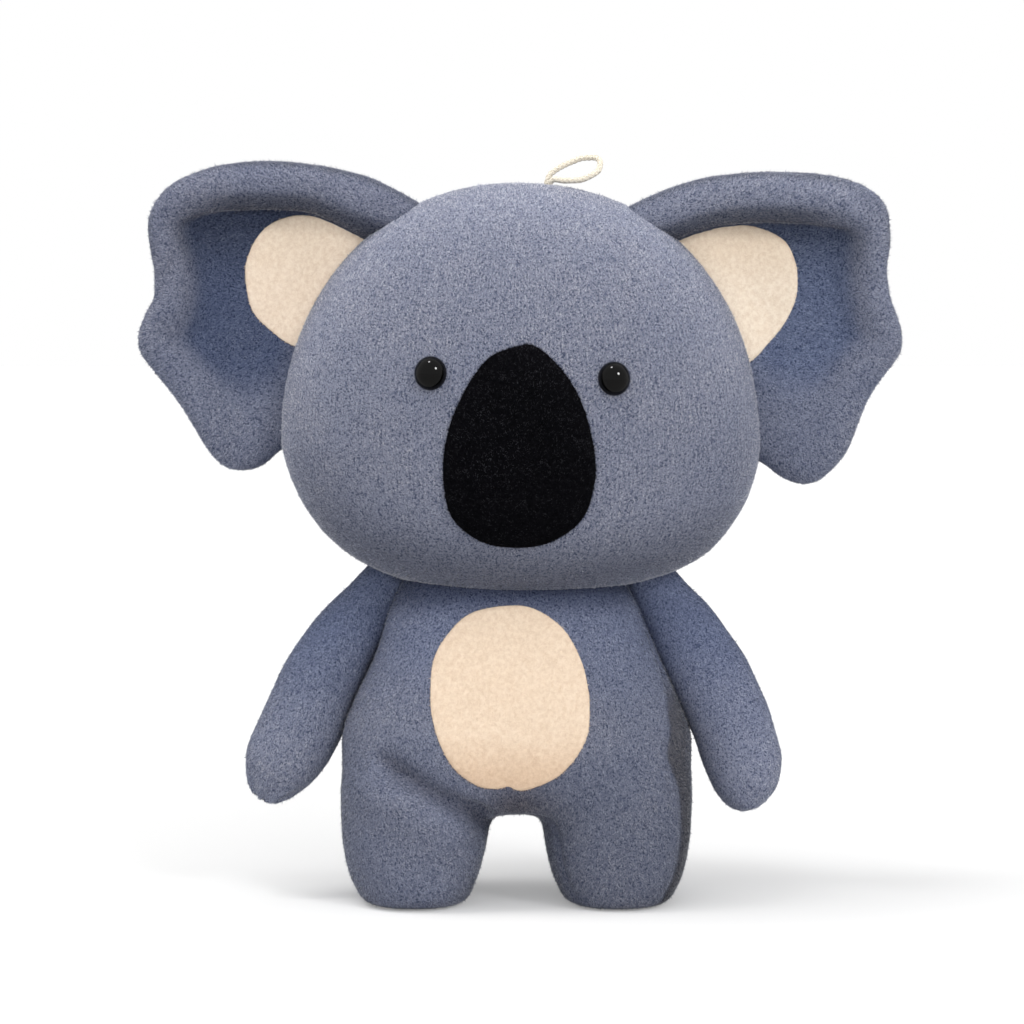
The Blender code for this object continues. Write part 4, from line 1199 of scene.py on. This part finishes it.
BLUE = dict(material=BLUE_PILE, slot="plush_blue")
CREAM = dict(material=CREAM_PILE, slot="plush_cream", density=6.0, length=0.9, width=0.26, comb=COMB_DOWN, spread=1.2,
             rough=0.15)
for sign, half, density in ((-1, "front", 7.0), (1, "back", 4.5)):
    pile(f"head_pile_{half}", head, "head", density=density, comb=COMB_UP, seed=11 + sign, length=1.0, width=0.4,
         keep=front_half(head_keep, sign), wale=ribs(0, HEAD_Y, 270), stitch_painted_shade=head_stitch_painted_shade, tint=head_tint_and_painted_light, rough=0.8,
         **BLUE)
    pile(f"body_pile_{half}", body, "torso", density=density - 1, comb=comb_body, seed=15 + sign, length=1.2,
         width=0.38, keep=front_half(clear_of(BELLY), sign), wale=ribs(BODY_X * MM, 0, 205), stitch_painted_shade=body_stitch_painted_shade,
         tone=body_seam_tone_and_painted_shade, tint=body_tint_and_painted_shade, **BLUE)
for side, word in SIDES:
    pile(f"arm_{word}_pile", arms[word], f"arm_{word}", density=6.0, seed=30 + side, length=1.15, width=0.38,
         comb=comb_way(side * ARM_DOWN[side][0], -0.05, ARM_DOWN[side][1]),
         wale=ribs(side * 75 * MM, 0, 60) if side > 0 else None, stitch_painted_shade=0.3, tint=ARM_PAINTED_SHADE[side], **BLUE)
    pile(f"ear_{word}_pile", ears[word], f"ear_{word}", density=5.0, comb=comb_ear(side), seed=40 + side, length=1.2,
         width=0.38, keep=clear_of(EAR_PATCH[word]), tint=ear_painted_light_and_shade(side, word), **BLUE)
    pile(f"inner_ear_{word}_pile", inner_ears[word], f"ear_{word}", seed=50 + side, tint=PATCH_TOP_PAINTED_SHADE[side], **CREAM)
pile("belly_pile", belly, "torso", seed=60, tint=BELLY_LOW_PAINTED_SHADE, **CREAM)
pile("nose_pile", nose, "head", BLACK_PILE, "plush_black", 6.0, 1.0, 0.3, COMB_UP, 1.1, 0.9, 61)

# --- floor and background

FLOOR_REACH, FLOOR_GREY, FLOOR_GLOW = 6.0, 0.68, 0.25
STUDIO_LIGHT = 0.42  # the background's light on the toy, which the camera sees as full white

material, tree, shader = new_material("floor_white")
shine(shader, 0.9, level=0.0)
seen = node(tree, "LightPath").outputs["Is Camera Ray"]
feed(shader, {"Base Color": (FLOOR_GREY,) * 3, "Emission Color": WHITE,
              "Emission Strength": math_node(tree, "MULTIPLY", seen, FLOOR_GLOW)})
corners = [(x * FLOOR_REACH, y * FLOOR_REACH, 0) for x, y in ((-1, -1), (1, -1), (1, 1), (-1, 1))]
mesh_from("floor", corners, [(0, 1, 2, 3)], material)

world = bpy.data.worlds.new("world")
bpy.context.scene.world = world
world.use_nodes = True
tree = world.node_tree
path = node(tree, "LightPath").outputs
seen = math_node(tree, "MAXIMUM", path["Is Camera Ray"], path["Is Glossy Ray"])
seen = math_node(tree, "MAXIMUM", seen, path["Is Transmission Ray"])
strength = math_node(tree, "MULTIPLY_ADD", seen, 1 - STUDIO_LIGHT, STUDIO_LIGHT)
feed(tree.nodes["Background"], {"Color": WHITE, "Strength": strength})
